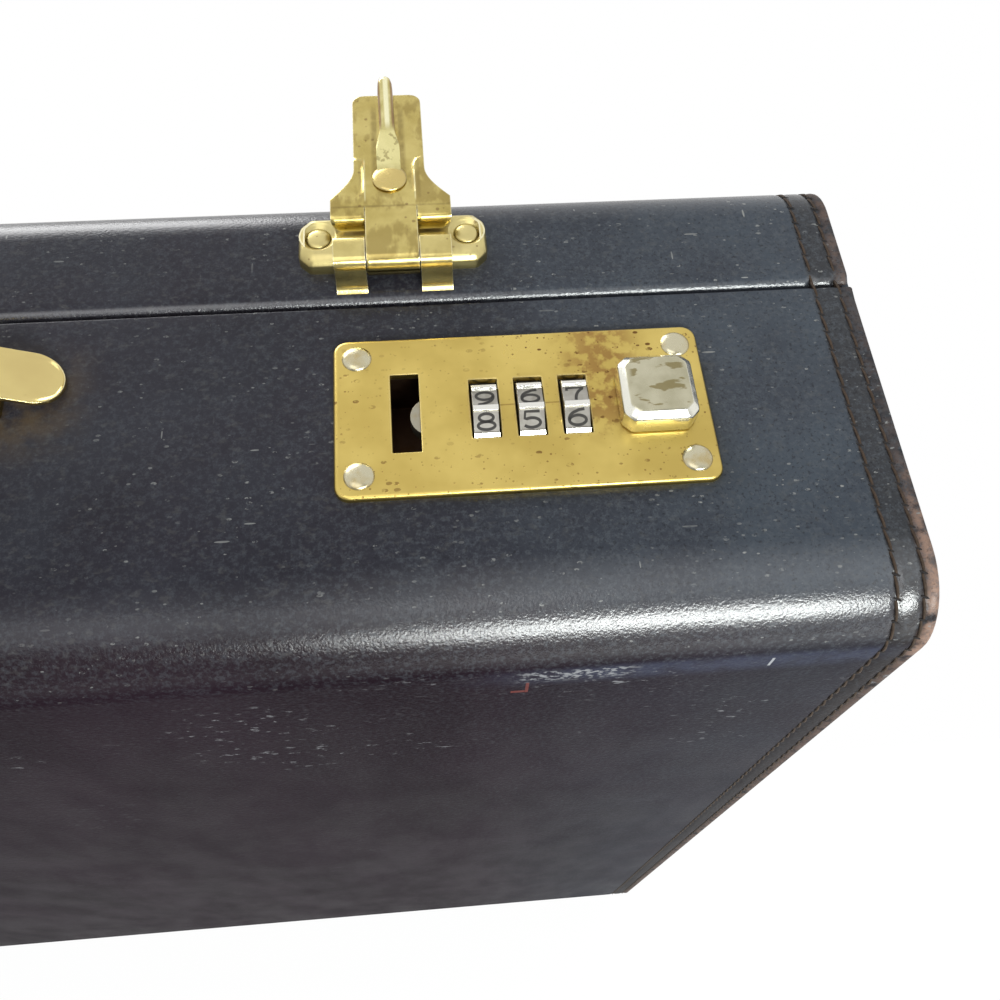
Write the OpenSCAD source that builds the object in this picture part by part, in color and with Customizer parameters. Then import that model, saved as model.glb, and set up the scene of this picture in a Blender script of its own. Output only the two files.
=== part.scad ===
// Hard attache case, leather over boards, with two combination locks.
// It stands upright on its feet: X is the width, the base's large face looks to -Y,
// the lid is on the +Y side and hinges at the bottom seam, Z is up.

/* [Case] */
// Width over the end leathers
case_w = 457; // [400:1:520]
// Height of the case, without the feet
case_h = 337.6; // [290:1:380]
// Depth of the base, from its large face to the seam
base_d = 62.4; // [56:0.2:90]
// Depth of the lid, from the seam to its large face
lid_d = 27.45; // [25:0.05:60]
// Radius of the base's long front edges
base_edge_r = 12; // [8:0.5:16]
// Radius of the lid's long back edges
lid_edge_r = 10; // [8:0.5:14]
// Gap at the seam between base and lid
seam_gap = 0.6; // [0.4:0.1:1]

/* [Boards, leather and lining] */
// Thickness of the boards
board_t = 4; // [3.5:0.1:5]
// Thickness of the leather
leather_t = 1.2; // [0.8:0.1:1.6]
// Thickness of the lining
lining_t = 0.6; // [0.4:0.1:1]
// Thickness of the rim lip that enters the lid
lip_t = 1.5; // [1:0.1:2.5]
// How far the rim lip stands into the lid
lip_rise = 4.5; // [3:0.5:6]
// How far the rim lip is glued inside the base
lip_root = 9; // [6:0.5:9]
// Gap between the rim lip and the lid's lining
lip_gap = 0.5; // [0.4:0.1:1]
// Width of the document pocket in the lid
pocket_w = 400; // [300:5:420]
// Height of the document pocket in the lid
pocket_h = 210; // [120:5:240]
// Thickness of the document pocket
pocket_t = 2.2; // [1.5:0.1:4]
// Distance from the lid's bottom board to the pocket
pocket_up = 14; // [8:1:40]

/* [Feet] */
// Height of the feet
foot_h = 6; // [5.4:0.1:10]
// Diameter of the feet
foot_d = 13; // [10:0.5:16]
// Distance from the ends of the case to the feet's centres
foot_end = 22; // [16:1:40]
// Distance from the seam to the back feet's centres
foot_seam = 10; // [8:0.5:12]
// Distance between the front and back feet
foot_row = 34; // [26:1:36]

/* [Hinges] */
// Length of each hinge
hinge_l = 60; // [40:1:90]
// Distance from the case's middle to each hinge's middle
hinge_x = 145; // [90:1:160]
// Width of a hinge leaf from the axis
hinge_leaf_w = 14; // [12:0.5:20]
// Thickness of a hinge leaf
hinge_leaf_t = 1; // [0.8:0.1:1.2]
// Radius of the hinge knuckles
hinge_knuckle_r = 2.4; // [2:0.1:2.6]
// Radius of the hinge pin
hinge_pin_r = 1.1; // [0.9:0.1:1.3]

/* [Handle] */
// Distance between the two pivot eyes, middle to middle
handle_span = 126; // [100:1:140]
// Distance from the pivot to the grip's axis
handle_rise = 31; // [27:0.5:34]
// Distance from the seam to the pivot axis
handle_y = 13; // [11:0.5:16]
// Height of the pivot axis over the leather
pivot_z = 6.5; // [5.5:0.1:8]
// Radius of the pivot pins
pivot_pin_r = 1.6; // [1.2:0.1:2]
// Radius of the grip at its middle
grip_r = 8.4; // [7.2:0.1:9]
// Radius of the grip at its ends
grip_end_r = 6.6; // [5.5:0.1:7]
// Radius of the core bar in the grip
core_r = 3.5; // [2.5:0.1:4.5]
// Radius of the end fittings' caps
cap_r = 7; // [6:0.1:7.5]
// Length of the leaf on each mount, from the boss to its tip
leaf_reach = 18; // [12:0.5:20]
// Width of the leaf on each mount
mount_leaf_w = 9.4; // [8:0.1:11]
// Thickness of the leaf on each mount
mount_leaf_t = 1.1; // [0.8:0.1:1.4]

/* [Lock plate] */
// Length of the lock plate
plate_l = 60; // [58:0.5:66]
// Width of the lock plate
plate_w = 29.5; // [29:0.1:34]
// Thickness of the lock plate
plate_t = 1.2; // [1:0.1:1.4]
// Corner radius of the lock plate
plate_corner = 2; // [1:0.1:3]
// Bevel round the top of the lock plate
plate_bevel = 0.5; // [0.2:0.05:0.7]
// Distance from the seam to the lock plate
plate_seam = 7.85; // [7:0.05:9]
// Distance from the case's end to the lock plate
plate_end = 29.7; // [24:0.1:40]
// Inset of the plate's rivets from its edges
rivet_inset = 3.85; // [3.4:0.05:4.2]
// Diameter of the plate's rivet heads
rivet_d = 4.8; // [4.2:0.1:5.6]
// Height of a domed rivet head
rivet_dome = 0.9; // [0.5:0.1:1.2]
// Radius of a rivet's shank
shank_r = 1.2; // [0.8:0.1:1.5]

/* [Slot and bolt] */
// Distance from the plate's inner edge to the slot
slot_x = 9.1; // [8.6:0.1:9.6]
// Width of the slot
slot_w = 4.5; // [4.4:0.1:5]
// Length of the slot
slot_l = 14.45; // [13.5:0.05:15]
// Distance from the plate's back edge to the slot
slot_back = 7.35; // [7:0.05:7.6]
// Travel of the button and bolt
bolt_travel = 3; // [2:0.1:3.2]
// Thickness of the slide bar
bar_t = 1.5; // [1:0.1:2]
// Height of the bolt nose
nose_h = 2.2; // [1.6:0.1:2.6]
// Radius of the bolt nose's rounded end
nose_r = 3.5; // [3:0.1:4]

/* [Dials] */
// Distance from the plate's inner edge to the first window
window_x = 21.6; // [21.4:0.1:22]
// Width of a window
window_w = 4.55; // [4.4:0.05:4.9]
// Length of a window
window_l = 11; // [10.8:0.1:12]
// Distance between windows, middle to middle
window_pitch = 7.2; // [6.8:0.1:7.4]
// Distance from the plate's back edge to the windows
window_back = 8.95; // [8.4:0.05:9.4]
// Diameter of a dial wheel over its ridges
dial_d = 14.4; // [13.6:0.1:14.8]
// Width of a dial wheel
dial_w = 4; // [3.6:0.1:4.2]
// How far a dial wheel stands over the plate
dial_rise = 2.2; // [1.8:0.1:2.4]
// Width of the ridges between the digits
ridge_w = 0.9; // [0.5:0.1:1.3]
// Angle of the dial wheels at rest, from a ridge at the top towards the back
dial_turn = -10; // [-18:1:18]
// Radius of the dial axle
axle_r = 1.3; // [1:0.1:1.6]

/* [Button] */
// Distance from the plate's inner edge to the button
button_x = 45; // [44:0.1:45.4]
// Length of the button along the case
button_l = 12; // [10:0.1:12.2]
// Width of the button across the top
button_w = 12.2; // [10:0.1:13]
// Distance from the plate's back edge to the button
button_back = 8.45; // [7.8:0.05:9]
// Height of the button over the plate
button_h = 4.8; // [3:0.1:6]
// Width of the button's clipped corners
button_clip = 1.6; // [1:0.1:2.5]
// Bevel round the button's top
button_bevel = 1.1; // [0.4:0.1:1.4]

/* [Hasp] */
// Distance from the seam to the hasp's pin
hasp_pin_y = 6.8; // [6.2:0.1:7.4]
// Height of the hasp's pin over the leather
hasp_pin_z = 4; // [3.8:0.1:4.4]
// Radius of the hasp's pin
hasp_pin_r = 1.2; // [1:0.1:1.4]
// Radius of the hasp's barrel and knuckles
barrel_r = 2.75; // [2.5:0.05:2.8]
// Length of the leaf's barrel
barrel_l = 8.9; // [8:0.1:10]
// Width of each knuckle strap
strap_w = 5.3; // [4.5:0.1:6]
// Length of the hasp's base along the case
tray_l = 32.3; // [31:0.1:36]
// Distance from the seam to the hasp's base
tray_y = 7.3; // [7:0.1:8]
// Width of the hasp's base, front to back
tray_w = 10.1; // [9:0.1:12]
// Height of the hasp's base
tray_h = 3.3; // [2.6:0.1:3.4]
// Bevel round the top of the hasp's base
tray_bevel = 1; // [0.5:0.1:1.4]
// Distance from the ends of the hasp's base to its rivets
tray_rivet_end = 3.4; // [3:0.1:3.8]
// Thickness of the hasp leaf
leaf_t = 1.4; // [1:0.1:1.5]
// Width of the hasp leaf's tongue
tongue_w = 12.3; // [10:0.1:14]
// Width of the hasp leaf's shoulders
shoulder_w = 20.5; // [18:0.1:22]
// Where the shoulders start, from the pin
shoulder_start = 7.4; // [7.2:0.1:8]
// Where the shoulders begin to narrow, from the pin
shoulder_end = 11; // [10:0.1:12]
// Length over which the shoulders narrow
shoulder_run = 7; // [5:0.1:9]
// Corner radius of the tongue's tip
tip_corner = 2; // [1:0.1:3]
// Length of the tongue past the prong
tip_past_prong = 2.4; // [1.5:0.1:4]
// Width of the hook's strip
hook_w = 4; // [3:0.1:4.3]
// Thickness of the hook's strip
hook_t = 0.8; // [0.6:0.1:0.9]
// Width of the hook's prong
prong_w = 2.7; // [2:0.1:2.8]
// How far the prong's tip stands off the leaf
prong_rise = 6.3; // [5:0.1:6.6]
// Diameter of the hook's rivet head
hook_rivet_d = 5.9; // [5:0.1:6.4]

/* [Hidden] */
$fn = 48;
eps = 0.01;

leather_colour = [0.17, 0.17, 0.21];
board_colour = [0.62, 0.48, 0.33];
lining_colour = [0.32, 0.21, 0.15];
brass_colour = [0.76, 0.65, 0.32];
nickel_colour = [0.72, 0.70, 0.66];
steel_colour = [0.55, 0.56, 0.58];

half_w = case_w / 2;
running_gap = 0.05;
hole_gap = 0.05;
sides = [-1, 1];

// Places of the hasp and the prong follow the slot
slot_clear = 0.1;
nose_clear = 0.1;
prong_x = slot_x + slot_clear;
nose_tip_x = prong_x + prong_w + nose_clear;
hasp_x = prong_x + prong_w / 2;
slot_start_s = hasp_pin_y + plate_seam + slot_back;
prong_short = 2.65;
prong_tip_s = slot_start_s + slot_l - prong_short;
leaf_len = prong_tip_s + tip_past_prong;
hook_strip_l = 6.75;
hook_rivet_s = slot_start_s - hook_strip_l;
hasp_reach = hasp_pin_y + leaf_len;

// The origin is midway between the base's face and whatever reaches furthest back
seam_y = (base_d - max(lid_d, hasp_reach)) / 2;
front_y = seam_y - base_d;
back_y = seam_y + lid_d;
top_z = foot_h + case_h;
plate_x0 = half_w - plate_end - plate_l;

// Insets of the layers from the outside
board_in = leather_t;
lining_in = leather_t + board_t;
room_in = lining_in + lining_t;
inner_half_w = half_w - lining_in;

// Blind shanks end inside the board
shank_short = 0.5;
shank_depth = leather_t + board_t - shank_short;
shank_end_gap = 0.1;

// Lock case, in the lock's own frame; its walls stand in from the plate's edges
wall_t = 0.8;
case_past_slot = 3.1;
case_in_end = 5.7;
case_in_front = 3.35;
case_in_back = 4.15;
case_gap = 0.2;
case_x0 = slot_x - case_past_slot;
case_x1 = plate_l - case_in_end;
case_y0 = -plate_seam - plate_w + case_in_front;
case_y1 = -plate_seam - case_in_back;
axle_z = plate_t + dial_rise - dial_d / 2;
axle_y = -plate_seam - window_back - window_l / 2;
dial_floor_gap = 1.2;
case_depth = dial_d / 2 - axle_z + dial_floor_gap + wall_t;
web_gap = 1.2;
web_w = 8;
web_x = [window_x - wall_t - web_gap, window_x + 2 * window_pitch + window_w + web_gap];
bar_top = -0.3;
rail_w = 2.7;
rail_y = case_y0 + wall_t + case_gap;
arm_w = 2.2;
nose_back = 0.35;
spring_r = bar_t / 2 - bar_top - running_gap;
stem_l = 3;
stem_w = 3.4;
stem_in = 1.5;
stem_gap = 0.2;
stem_x = button_x + stem_in;
button_y = -plate_seam - button_back - button_w / 2;
button_lift = 0.15;

// Hinge axis, and the flat part of each leaf
hinge_lift = 0.1;
hinge_z = foot_h - hinge_knuckle_r - hinge_lift;
hinge_flat_start = 3.2;
hinge_rivet_end = 8;
hinge_rivet_edge = 4.5;
small_rivet_d = 4;
small_rivet_dome = 0.6;

// Handle lies forward with its grip just over the leather
eye_w = 7;
eye_r = 4.3;
boss_r = 5;
boss_l = 13;
eye_gap = 0.4;
boss_x = handle_span / 2 + eye_w / 2 + eye_gap;
pin_seat = 7;
flange_t = 1.2;
flange_w = 14.4;
flange_reach = 7.5;
mount_rivet_x = 4;
mount_rivet_y = 4.6;
leaf_root = 5;
leaf_tip_z = 1.5;
grip_lift = 0.8;
lie_up = asin((max(grip_r, cap_r) + grip_lift - pivot_z) / handle_rise);
handle_lie = 90 - lie_up;
cap_l = 5;
cap_end = 1.5;
grip_half_l = handle_span / 2 - eye_w / 2 - cap_end;

// Hasp base
tray_clip = 1.6;
tray_rivet_back = 0.6;
tray_rivet_d = 4.6;
tray_rivet_dome = 0.8;
rivet_sink = 0.5;
strap_root = 3;
strap_toe = 1;
strap_toe_t = 1.4;
knuckle_gap = 0.12;
barrel_gap = 0.2;

// Side view of a shell: rounded on its closed side, open at the seam, u from the closed face
module side_profile(depth, radius, inset) {
  r = radius - inset;
  translate([inset + r, inset])
    square([depth - inset - r, case_h - 2 * inset]);
  translate([inset, inset + r])
    square([r + eps, case_h - 2 * inset - 2 * r]);
  for (v = [inset + r, case_h - inset - r])
    translate([inset + r, v])
      circle(r);
}

// Layer of a shell between two insets, as seen from the side
module layer_profile(depth, radius, inset, thick) {
  difference() {
    side_profile(depth, radius, inset);
    side_profile(depth + 1, radius, inset + thick);
  }
}

// Frames of the two shells: u runs inwards from the closed face, v runs up
module along_width(length) {
  rotate([90, 0, 90])
    linear_extrude(length, center = true)
      children();
}

module in_base() {
  translate([0, front_y, foot_h])
    children();
}

module in_lid() {
  translate([0, back_y, foot_h])
    mirror([0, 1, 0])
      children();
}

// Frame of a lock: x from the plate's inner edge, y from the seam, z from the leather
module at_lock(side) {
  mirror([side < 0 ? 1 : 0, 0, 0])
    translate([plate_x0, seam_y, top_z])
      children();
}

module at_locks() {
  for (side = sides)
    at_lock(side)
      children();
}

// Frame of a handle mount: x from the case's middle, y from the pivot axis, z from the leather
module at_mounts() {
  for (side = sides)
    mirror([side < 0 ? 1 : 0, 0, 0])
      translate([0, seam_y - handle_y, top_z])
        children();
}

module round_rect(length, width, radius) {
  translate([radius, 0])
    square([length - 2 * radius, width]);
  translate([0, radius])
    square([length, width - 2 * radius]);
  for (x = [radius, length - radius], y = [radius, width - radius])
    translate([x, y])
      circle(radius);
}

module clipped_rect(length, width, clip) {
  polygon([
    [clip, 0], [length - clip, 0], [length, clip], [length, width - clip],
    [length - clip, width], [clip, width], [0, width - clip], [0, clip]
  ]);
}

module rod_x(radius, length) {
  rotate([0, 90, 0])
    cylinder(r = radius, h = length);
}

// Domed rivet: head on z = 0, shank down to the given depth
module rivet(head_d, dome, depth) {
  cap_sphere_r = (head_d * head_d / 4 + dome * dome) / (2 * dome);
  intersection() {
    translate([0, 0, dome - cap_sphere_r])
      sphere(cap_sphere_r);
    cylinder(d = head_d + 1, h = dome + 1);
  }
  translate([0, 0, -depth])
    cylinder(r = shank_r, h = depth + eps);
}

module shank_hole(depth) {
  translate([0, 0, -depth])
    cylinder(r = shank_r + hole_gap, h = depth + foot_h);
}

// Places of the rivets, each in the frame named above
module at_plate_rivets() {
  for (x = [rivet_inset, plate_l - rivet_inset], y = [rivet_inset, plate_w - rivet_inset])
    translate([x, -plate_seam - y, 0])
      children();
}

module at_tray_rivets() {
  for (s = sides)
    translate([hasp_x + s * (tray_l / 2 - tray_rivet_end), tray_y + tray_w / 2 + tray_rivet_back, 0])
      children();
}

module at_mount_rivets() {
  for (s = sides)
    translate([boss_x + boss_l + mount_rivet_x, s * mount_rivet_y, 0])
      children();
}

module at_feet() {
  for (s = sides, row = [0, foot_row])
    translate([s * (half_w - foot_end), seam_y - foot_seam - row, 0])
      children();
}

// Rivets of the hinges: dir is -1 on the base and 1 on the lid
module at_hinge_rivets(dir) {
  for (s = sides, end = sides)
    translate([
      s * hinge_x + end * (hinge_l / 2 - hinge_rivet_end),
      seam_y + dir * (hinge_leaf_w - hinge_rivet_edge),
      foot_h - hinge_leaf_t
    ])
      rotate([180, 0, 0])
        children();
}

module lock_case_hole() {
  at_locks()
    translate([case_x0 - case_gap, case_y0 - case_gap, -case_depth - 1])
      cube([
        case_x1 - case_x0 + 2 * case_gap,
        case_y1 - case_y0 + 2 * case_gap,
        case_depth + 2
      ]);
}

module base_top_holes() {
  lock_case_hole();
  at_locks()
    at_plate_rivets()
      shank_hole(shank_depth + shank_end_gap);
  at_mounts()
    at_mount_rivets()
      shank_hole(shank_depth + shank_end_gap);
}

module base_bottom_holes() {
  at_hinge_rivets(-1)
    shank_hole(hinge_leaf_t + shank_depth + shank_end_gap);
  at_feet()
    translate([0, 0, foot_h - 1])
      cylinder(r = shank_r + hole_gap, h = shank_depth + shank_end_gap + 1);
}

module lid_top_holes() {
  at_locks()
    at_tray_rivets()
      shank_hole(shank_depth + shank_end_gap);
}

module lid_bottom_holes() {
  at_hinge_rivets(1)
    shank_hole(hinge_leaf_t + shank_depth + shank_end_gap);
}

// Shell pieces shared by base and lid; each is drawn in the shell's own frame
module shell_panel(radius) {
  along_width(2 * inner_half_w)
    translate([board_in, radius])
      square([board_t, case_h - 2 * radius]);
}

module shell_rail(depth, radius, top) {
  along_width(2 * inner_half_w)
    intersection() {
      layer_profile(depth - leather_t, radius, board_in, board_t);
      translate([0, top ? case_h - radius : 0])
        square([depth - leather_t, radius]);
    }
}

module shell_end_board(depth, radius, side) {
  translate([side * (inner_half_w + board_t / 2), 0, 0])
    along_width(board_t)
      side_profile(depth - leather_t, radius, board_in);
}

module shell_wrap(depth, radius) {
  along_width(case_w)
    layer_profile(depth, radius, 0, leather_t);
  // Leather turned in over the edges of the top and bottom boards
  along_width(case_w - 2 * leather_t)
    for (v = [leather_t, case_h - lining_in])
      translate([depth - leather_t, v])
        square([leather_t, board_t]);
}

module shell_end_leather(depth, radius, side) {
  translate([side * (half_w - leather_t / 2), 0, 0])
    along_width(leather_t)
      side_profile(depth, radius, leather_t);
  // Leather turned in over the edge of the end board
  translate([side * (inner_half_w + (board_t + eps) / 2), 0, 0])
    along_width(board_t + eps)
      translate([depth - leather_t, lining_in])
        square([leather_t, case_h - 2 * lining_in]);
}

module shell_lining(depth, radius) {
  along_width(2 * inner_half_w)
    layer_profile(depth, radius, lining_in, lining_t);
  for (side = sides)
    translate([side * (inner_half_w - lining_t / 2), 0, 0])
      along_width(lining_t)
        side_profile(depth, radius, lining_in + eps);
}

// Base shell
module base_panel() {
  color(board_colour)
    in_base()
      shell_panel(base_edge_r);
}

module base_top_rail() {
  color(board_colour)
    difference() {
      in_base()
        shell_rail(base_d, base_edge_r, true);
      base_top_holes();
    }
}

module base_bottom_rail() {
  color(board_colour)
    difference() {
      in_base()
        shell_rail(base_d, base_edge_r, false);
      base_bottom_holes();
    }
}

module base_end_board(side) {
  color(board_colour)
    in_base()
      shell_end_board(base_d, base_edge_r, side);
}

module base_wrap_leather() {
  color(leather_colour)
    difference() {
      in_base()
        shell_wrap(base_d, base_edge_r);
      base_top_holes();
      base_bottom_holes();
    }
}

module base_end_leather(side) {
  color(leather_colour)
    in_base()
      shell_end_leather(base_d, base_edge_r, side);
}

module base_lining() {
  color(lining_colour)
    difference() {
      in_base()
        shell_lining(base_d, base_edge_r);
      lock_case_hole();
    }
}

// Frame strip glued round the base's mouth; it enters the lid and lines it up
module base_rim_lip() {
  outer_in = room_in + lip_gap;
  inner_in = outer_in + lip_t;
  color(lining_colour)
    translate([0, seam_y, foot_h + case_h / 2])
      rotate([90, 0, 0])
        difference() {
          union() {
            linear_extrude(lip_root)
              square([case_w - 2 * room_in, case_h - 2 * room_in], center = true);
            translate([0, 0, -lip_rise])
              linear_extrude(lip_rise + eps)
                square([case_w - 2 * outer_in, case_h - 2 * outer_in], center = true);
          }
          translate([0, 0, -lip_rise - 1])
            linear_extrude(lip_root + lip_rise + 2)
              square([case_w - 2 * inner_in, case_h - 2 * inner_in], center = true);
        }
}

// Lid shell
module lid_panel() {
  color(board_colour)
    in_lid()
      shell_panel(lid_edge_r);
}

module lid_top_rail() {
  color(board_colour)
    difference() {
      in_lid()
        shell_rail(lid_d - seam_gap, lid_edge_r, true);
      lid_top_holes();
    }
}

module lid_bottom_rail() {
  color(board_colour)
    difference() {
      in_lid()
        shell_rail(lid_d - seam_gap, lid_edge_r, false);
      lid_bottom_holes();
    }
}

module lid_end_board(side) {
  color(board_colour)
    in_lid()
      shell_end_board(lid_d - seam_gap, lid_edge_r, side);
}

module lid_wrap_leather() {
  color(leather_colour)
    difference() {
      in_lid()
        shell_wrap(lid_d - seam_gap, lid_edge_r);
      lid_top_holes();
      lid_bottom_holes();
    }
}

module lid_end_leather(side) {
  color(leather_colour)
    in_lid()
      shell_end_leather(lid_d - seam_gap, lid_edge_r, side);
}

module lid_lining() {
  color(lining_colour)
    in_lid()
      shell_lining(lid_d - seam_gap, lid_edge_r);
}

// Flat document pocket sewn to the lid's lining
module lid_pocket() {
  color(lining_colour)
    translate([0, back_y - room_in, foot_h + room_in + pocket_up])
      rotate([90, 0, 0])
        linear_extrude(pocket_t)
          translate([-pocket_w / 2, 0])
            round_rect(pocket_w, pocket_h, 6);
}

// Brass feet, each with a shank into the base's bottom board
module feet() {
  bevel_h = 2.5;
  sole_d = foot_d - 2 * bevel_h;
  color(brass_colour)
    at_feet() {
      cylinder(d1 = sole_d, d2 = foot_d, h = bevel_h);
      translate([0, 0, bevel_h - eps])
        cylinder(d = foot_d, h = foot_h - bevel_h + eps);
      translate([0, 0, foot_h - eps])
        cylinder(r = shank_r, h = shank_depth);
    }
}

// Hinge leaves under the bottom seam: the base has the outer knuckles, the lid the middle one
module hinge_leaf(dir, knuckles) {
  gap = 0.25;
  third = hinge_l / 3;
  plate_z = foot_h - hinge_z - hinge_leaf_t;
  difference() {
    union() {
      translate([-hinge_l / 2, dir > 0 ? hinge_flat_start : -hinge_leaf_w, plate_z])
        cube([hinge_l, hinge_leaf_w - hinge_flat_start, hinge_leaf_t]);
      for (k = knuckles)
        translate([(k - 1.5) * third + gap, 0, 0]) {
          translate([0, dir > 0 ? 0 : -hinge_flat_start - eps, plate_z])
            cube([third - 2 * gap, hinge_flat_start + eps, hinge_leaf_t - hinge_lift]);
          rod_x(hinge_knuckle_r, third - 2 * gap);
        }
    }
    translate([-hinge_l / 2 - 1, 0, 0])
      rod_x(hinge_pin_r + (dir > 0 ? running_gap : 0), hinge_l + 2);
  }
}

module at_hinges() {
  for (s = sides)
    translate([s * hinge_x, seam_y, hinge_z])
      children();
}

module hinge_base_leaves() {
  color(brass_colour)
    difference() {
      at_hinges()
        hinge_leaf(-1, [0, 2]);
      at_hinge_rivets(-1)
        shank_hole(hinge_leaf_t + 1);
    }
}

module hinge_lid_leaves() {
  color(brass_colour)
    difference() {
      at_hinges()
        hinge_leaf(1, [1]);
      at_hinge_rivets(1)
        shank_hole(hinge_leaf_t + 1);
    }
}

module hinge_pins() {
  color(steel_colour)
    at_hinges()
      translate([-hinge_l / 2, 0, 0])
        rod_x(hinge_pin_r, hinge_l);
}

module hinge_rivets(dir) {
  color(nickel_colour)
    at_hinge_rivets(dir)
      rivet(small_rivet_d, small_rivet_dome, hinge_leaf_t + shank_depth);
}

// Handle, drawn upright about its pivot axis and laid forward by this frame
module lay_handle() {
  translate([0, seam_y - handle_y, top_z + pivot_z])
    rotate([handle_lie, 0, 0])
      children();
}

module handle_core() {
  color(steel_colour)
    lay_handle()
      translate([-grip_half_l - 1, 0, handle_rise])
        rod_x(core_r, 2 * grip_half_l + 2);
}

// Radius of the grip at a share of its half length, from the middle to an end
function grip_radius(t) = grip_end_r + (grip_r - grip_end_r) * cos(90 * t);

module handle_grip() {
  end_x = grip_half_l - cap_l;
  steps = 12;
  color(leather_colour)
    lay_handle()
      translate([0, 0, handle_rise])
        rotate([0, 90, 0])
          rotate_extrude()
            polygon(concat(
              [[core_r + eps, -end_x], [core_r + eps, end_x]],
              [for (i = [steps : -1 : -steps])
                [grip_radius(abs(i) / steps), end_x * i / steps]]
            ));
}

// Brass end fitting: a cap over the grip's end, an arm, and an eye on the pivot pin
module handle_end_fittings() {
  arm_l = 7;
  arm_t = 4;
  knob_r = 5;
  color(brass_colour)
    lay_handle()
      for (s = sides)
        mirror([s < 0 ? 1 : 0, 0, 0])
          difference() {
            union() {
              translate([handle_span / 2 - eye_w / 2, 0, 0])
                rod_x(eye_r, eye_w);
              translate([handle_span / 2 - arm_t / 2, -arm_l / 2, 0])
                cube([arm_t, arm_l, handle_rise]);
              translate([grip_half_l - cap_l, 0, handle_rise])
                rod_x(cap_r, cap_l + cap_end);
              translate([grip_half_l + 1, 0, handle_rise])
                rod_x(knob_r, handle_span / 2 + arm_t / 2 - grip_half_l);
            }
            translate([handle_span / 2 - eye_w, 0, 0])
              rod_x(pivot_pin_r + running_gap, 2 * eye_w);
            translate([grip_half_l - cap_l - 1, 0, handle_rise])
              rod_x(core_r + eps, cap_l + 2);
          }
}

// Top line of the mount's leaf, from the boss to the tip just over the leather
function leaf_top(t) = leaf_tip_z + (pivot_z + boss_r - leaf_tip_z) * pow(1 - t, 1.1);

module handle_mount() {
  tip_x = boss_x + boss_l + leaf_reach - 1;
  steps = 10;
  leaf_x0 = boss_x + leaf_root;
  color(brass_colour)
    difference() {
      union() {
        translate([boss_x, 0, pivot_z])
          rod_x(boss_r, boss_l);
        translate([boss_x, -boss_r, 0])
          cube([boss_l, 2 * boss_r, pivot_z]);
        // Flange that takes the rivets
        translate([boss_x, -flange_w / 2, 0])
          linear_extrude(flange_t)
            round_rect(boss_l + flange_reach, flange_w, 2);
        // Leaf: side view cut to a round-ended plan
        intersection() {
          translate([0, mount_leaf_w, 0])
            rotate([90, 0, 0])
              linear_extrude(2 * mount_leaf_w)
                polygon(concat(
                  [for (i = [0 : steps])
                    [leaf_x0 + (tip_x - leaf_x0) * i / steps, leaf_top(i / steps)]],
                  [for (i = [steps : -1 : 0])
                    [leaf_x0 + (tip_x - leaf_x0) * i / steps, leaf_top(i / steps) - mount_leaf_t]]
                ));
          linear_extrude(2 * (pivot_z + boss_r)) {
            translate([leaf_x0, -mount_leaf_w / 2])
              square([tip_x - leaf_x0 - mount_leaf_w / 2, mount_leaf_w]);
            translate([tip_x - mount_leaf_w / 2, 0])
              circle(d = mount_leaf_w);
          }
        }
      }
      translate([boss_x - 1, 0, pivot_z])
        rod_x(pivot_pin_r, pin_seat + 1);
      at_mount_rivets()
        shank_hole(1);
    }
}

module handle_mount_side(side) {
  mirror([side < 0 ? 1 : 0, 0, 0])
    translate([0, seam_y - handle_y, top_z])
      handle_mount();
}

module handle_pivot_pins() {
  pin_end = 0.8;
  color(steel_colour)
    at_mounts()
      translate([handle_span / 2 - eye_w / 2 - pin_end, 0, pivot_z])
        rod_x(pivot_pin_r, boss_x + pin_seat - handle_span / 2 + eye_w / 2 + pin_end);
}

module handle_mount_rivets() {
  color(nickel_colour)
    at_mounts()
      at_mount_rivets()
        translate([0, 0, flange_t])
          rivet(small_rivet_d, small_rivet_dome, flange_t + shank_depth);
}

// Lock plate with bevelled rim, slot, dial windows and the slot for the button's stem
module lock_plate() {
  wheel_gap = 0.25;
  color(brass_colour)
    difference() {
      union() {
        translate([0, -plate_seam - plate_w, 0])
          linear_extrude(plate_t - plate_bevel)
            round_rect(plate_l, plate_w, plate_corner);
        hull() {
          translate([0, -plate_seam - plate_w, plate_t - plate_bevel - eps])
            linear_extrude(eps)
              round_rect(plate_l, plate_w, plate_corner, $fn = 32);
          translate([plate_bevel, -plate_seam - plate_w + plate_bevel, plate_t - eps])
            linear_extrude(eps)
              round_rect(plate_l - 2 * plate_bevel, plate_w - 2 * plate_bevel,
                plate_corner - plate_bevel, $fn = 32);
        }
      }
      translate([slot_x, -plate_seam - slot_back - slot_l, -1])
        cube([slot_w, slot_l, plate_t + 2]);
      for (i = [0 : 2]) {
        translate([window_x + i * window_pitch, axle_y - window_l / 2, -1])
          cube([window_w, window_l, plate_t + 2]);
        // Relief under the plate, so that the wheel clears the window's ends
        translate([window_x + i * window_pitch, axle_y, axle_z])
          rod_x(dial_d / 2 + wheel_gap, window_w);
      }
      translate([stem_x - stem_gap, button_y - stem_w / 2 - stem_gap, -1])
        cube([stem_l + bolt_travel + 2 * stem_gap, stem_w + 2 * stem_gap, plate_t + 2]);
      at_plate_rivets()
        shank_hole(1);
    }
}

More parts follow.
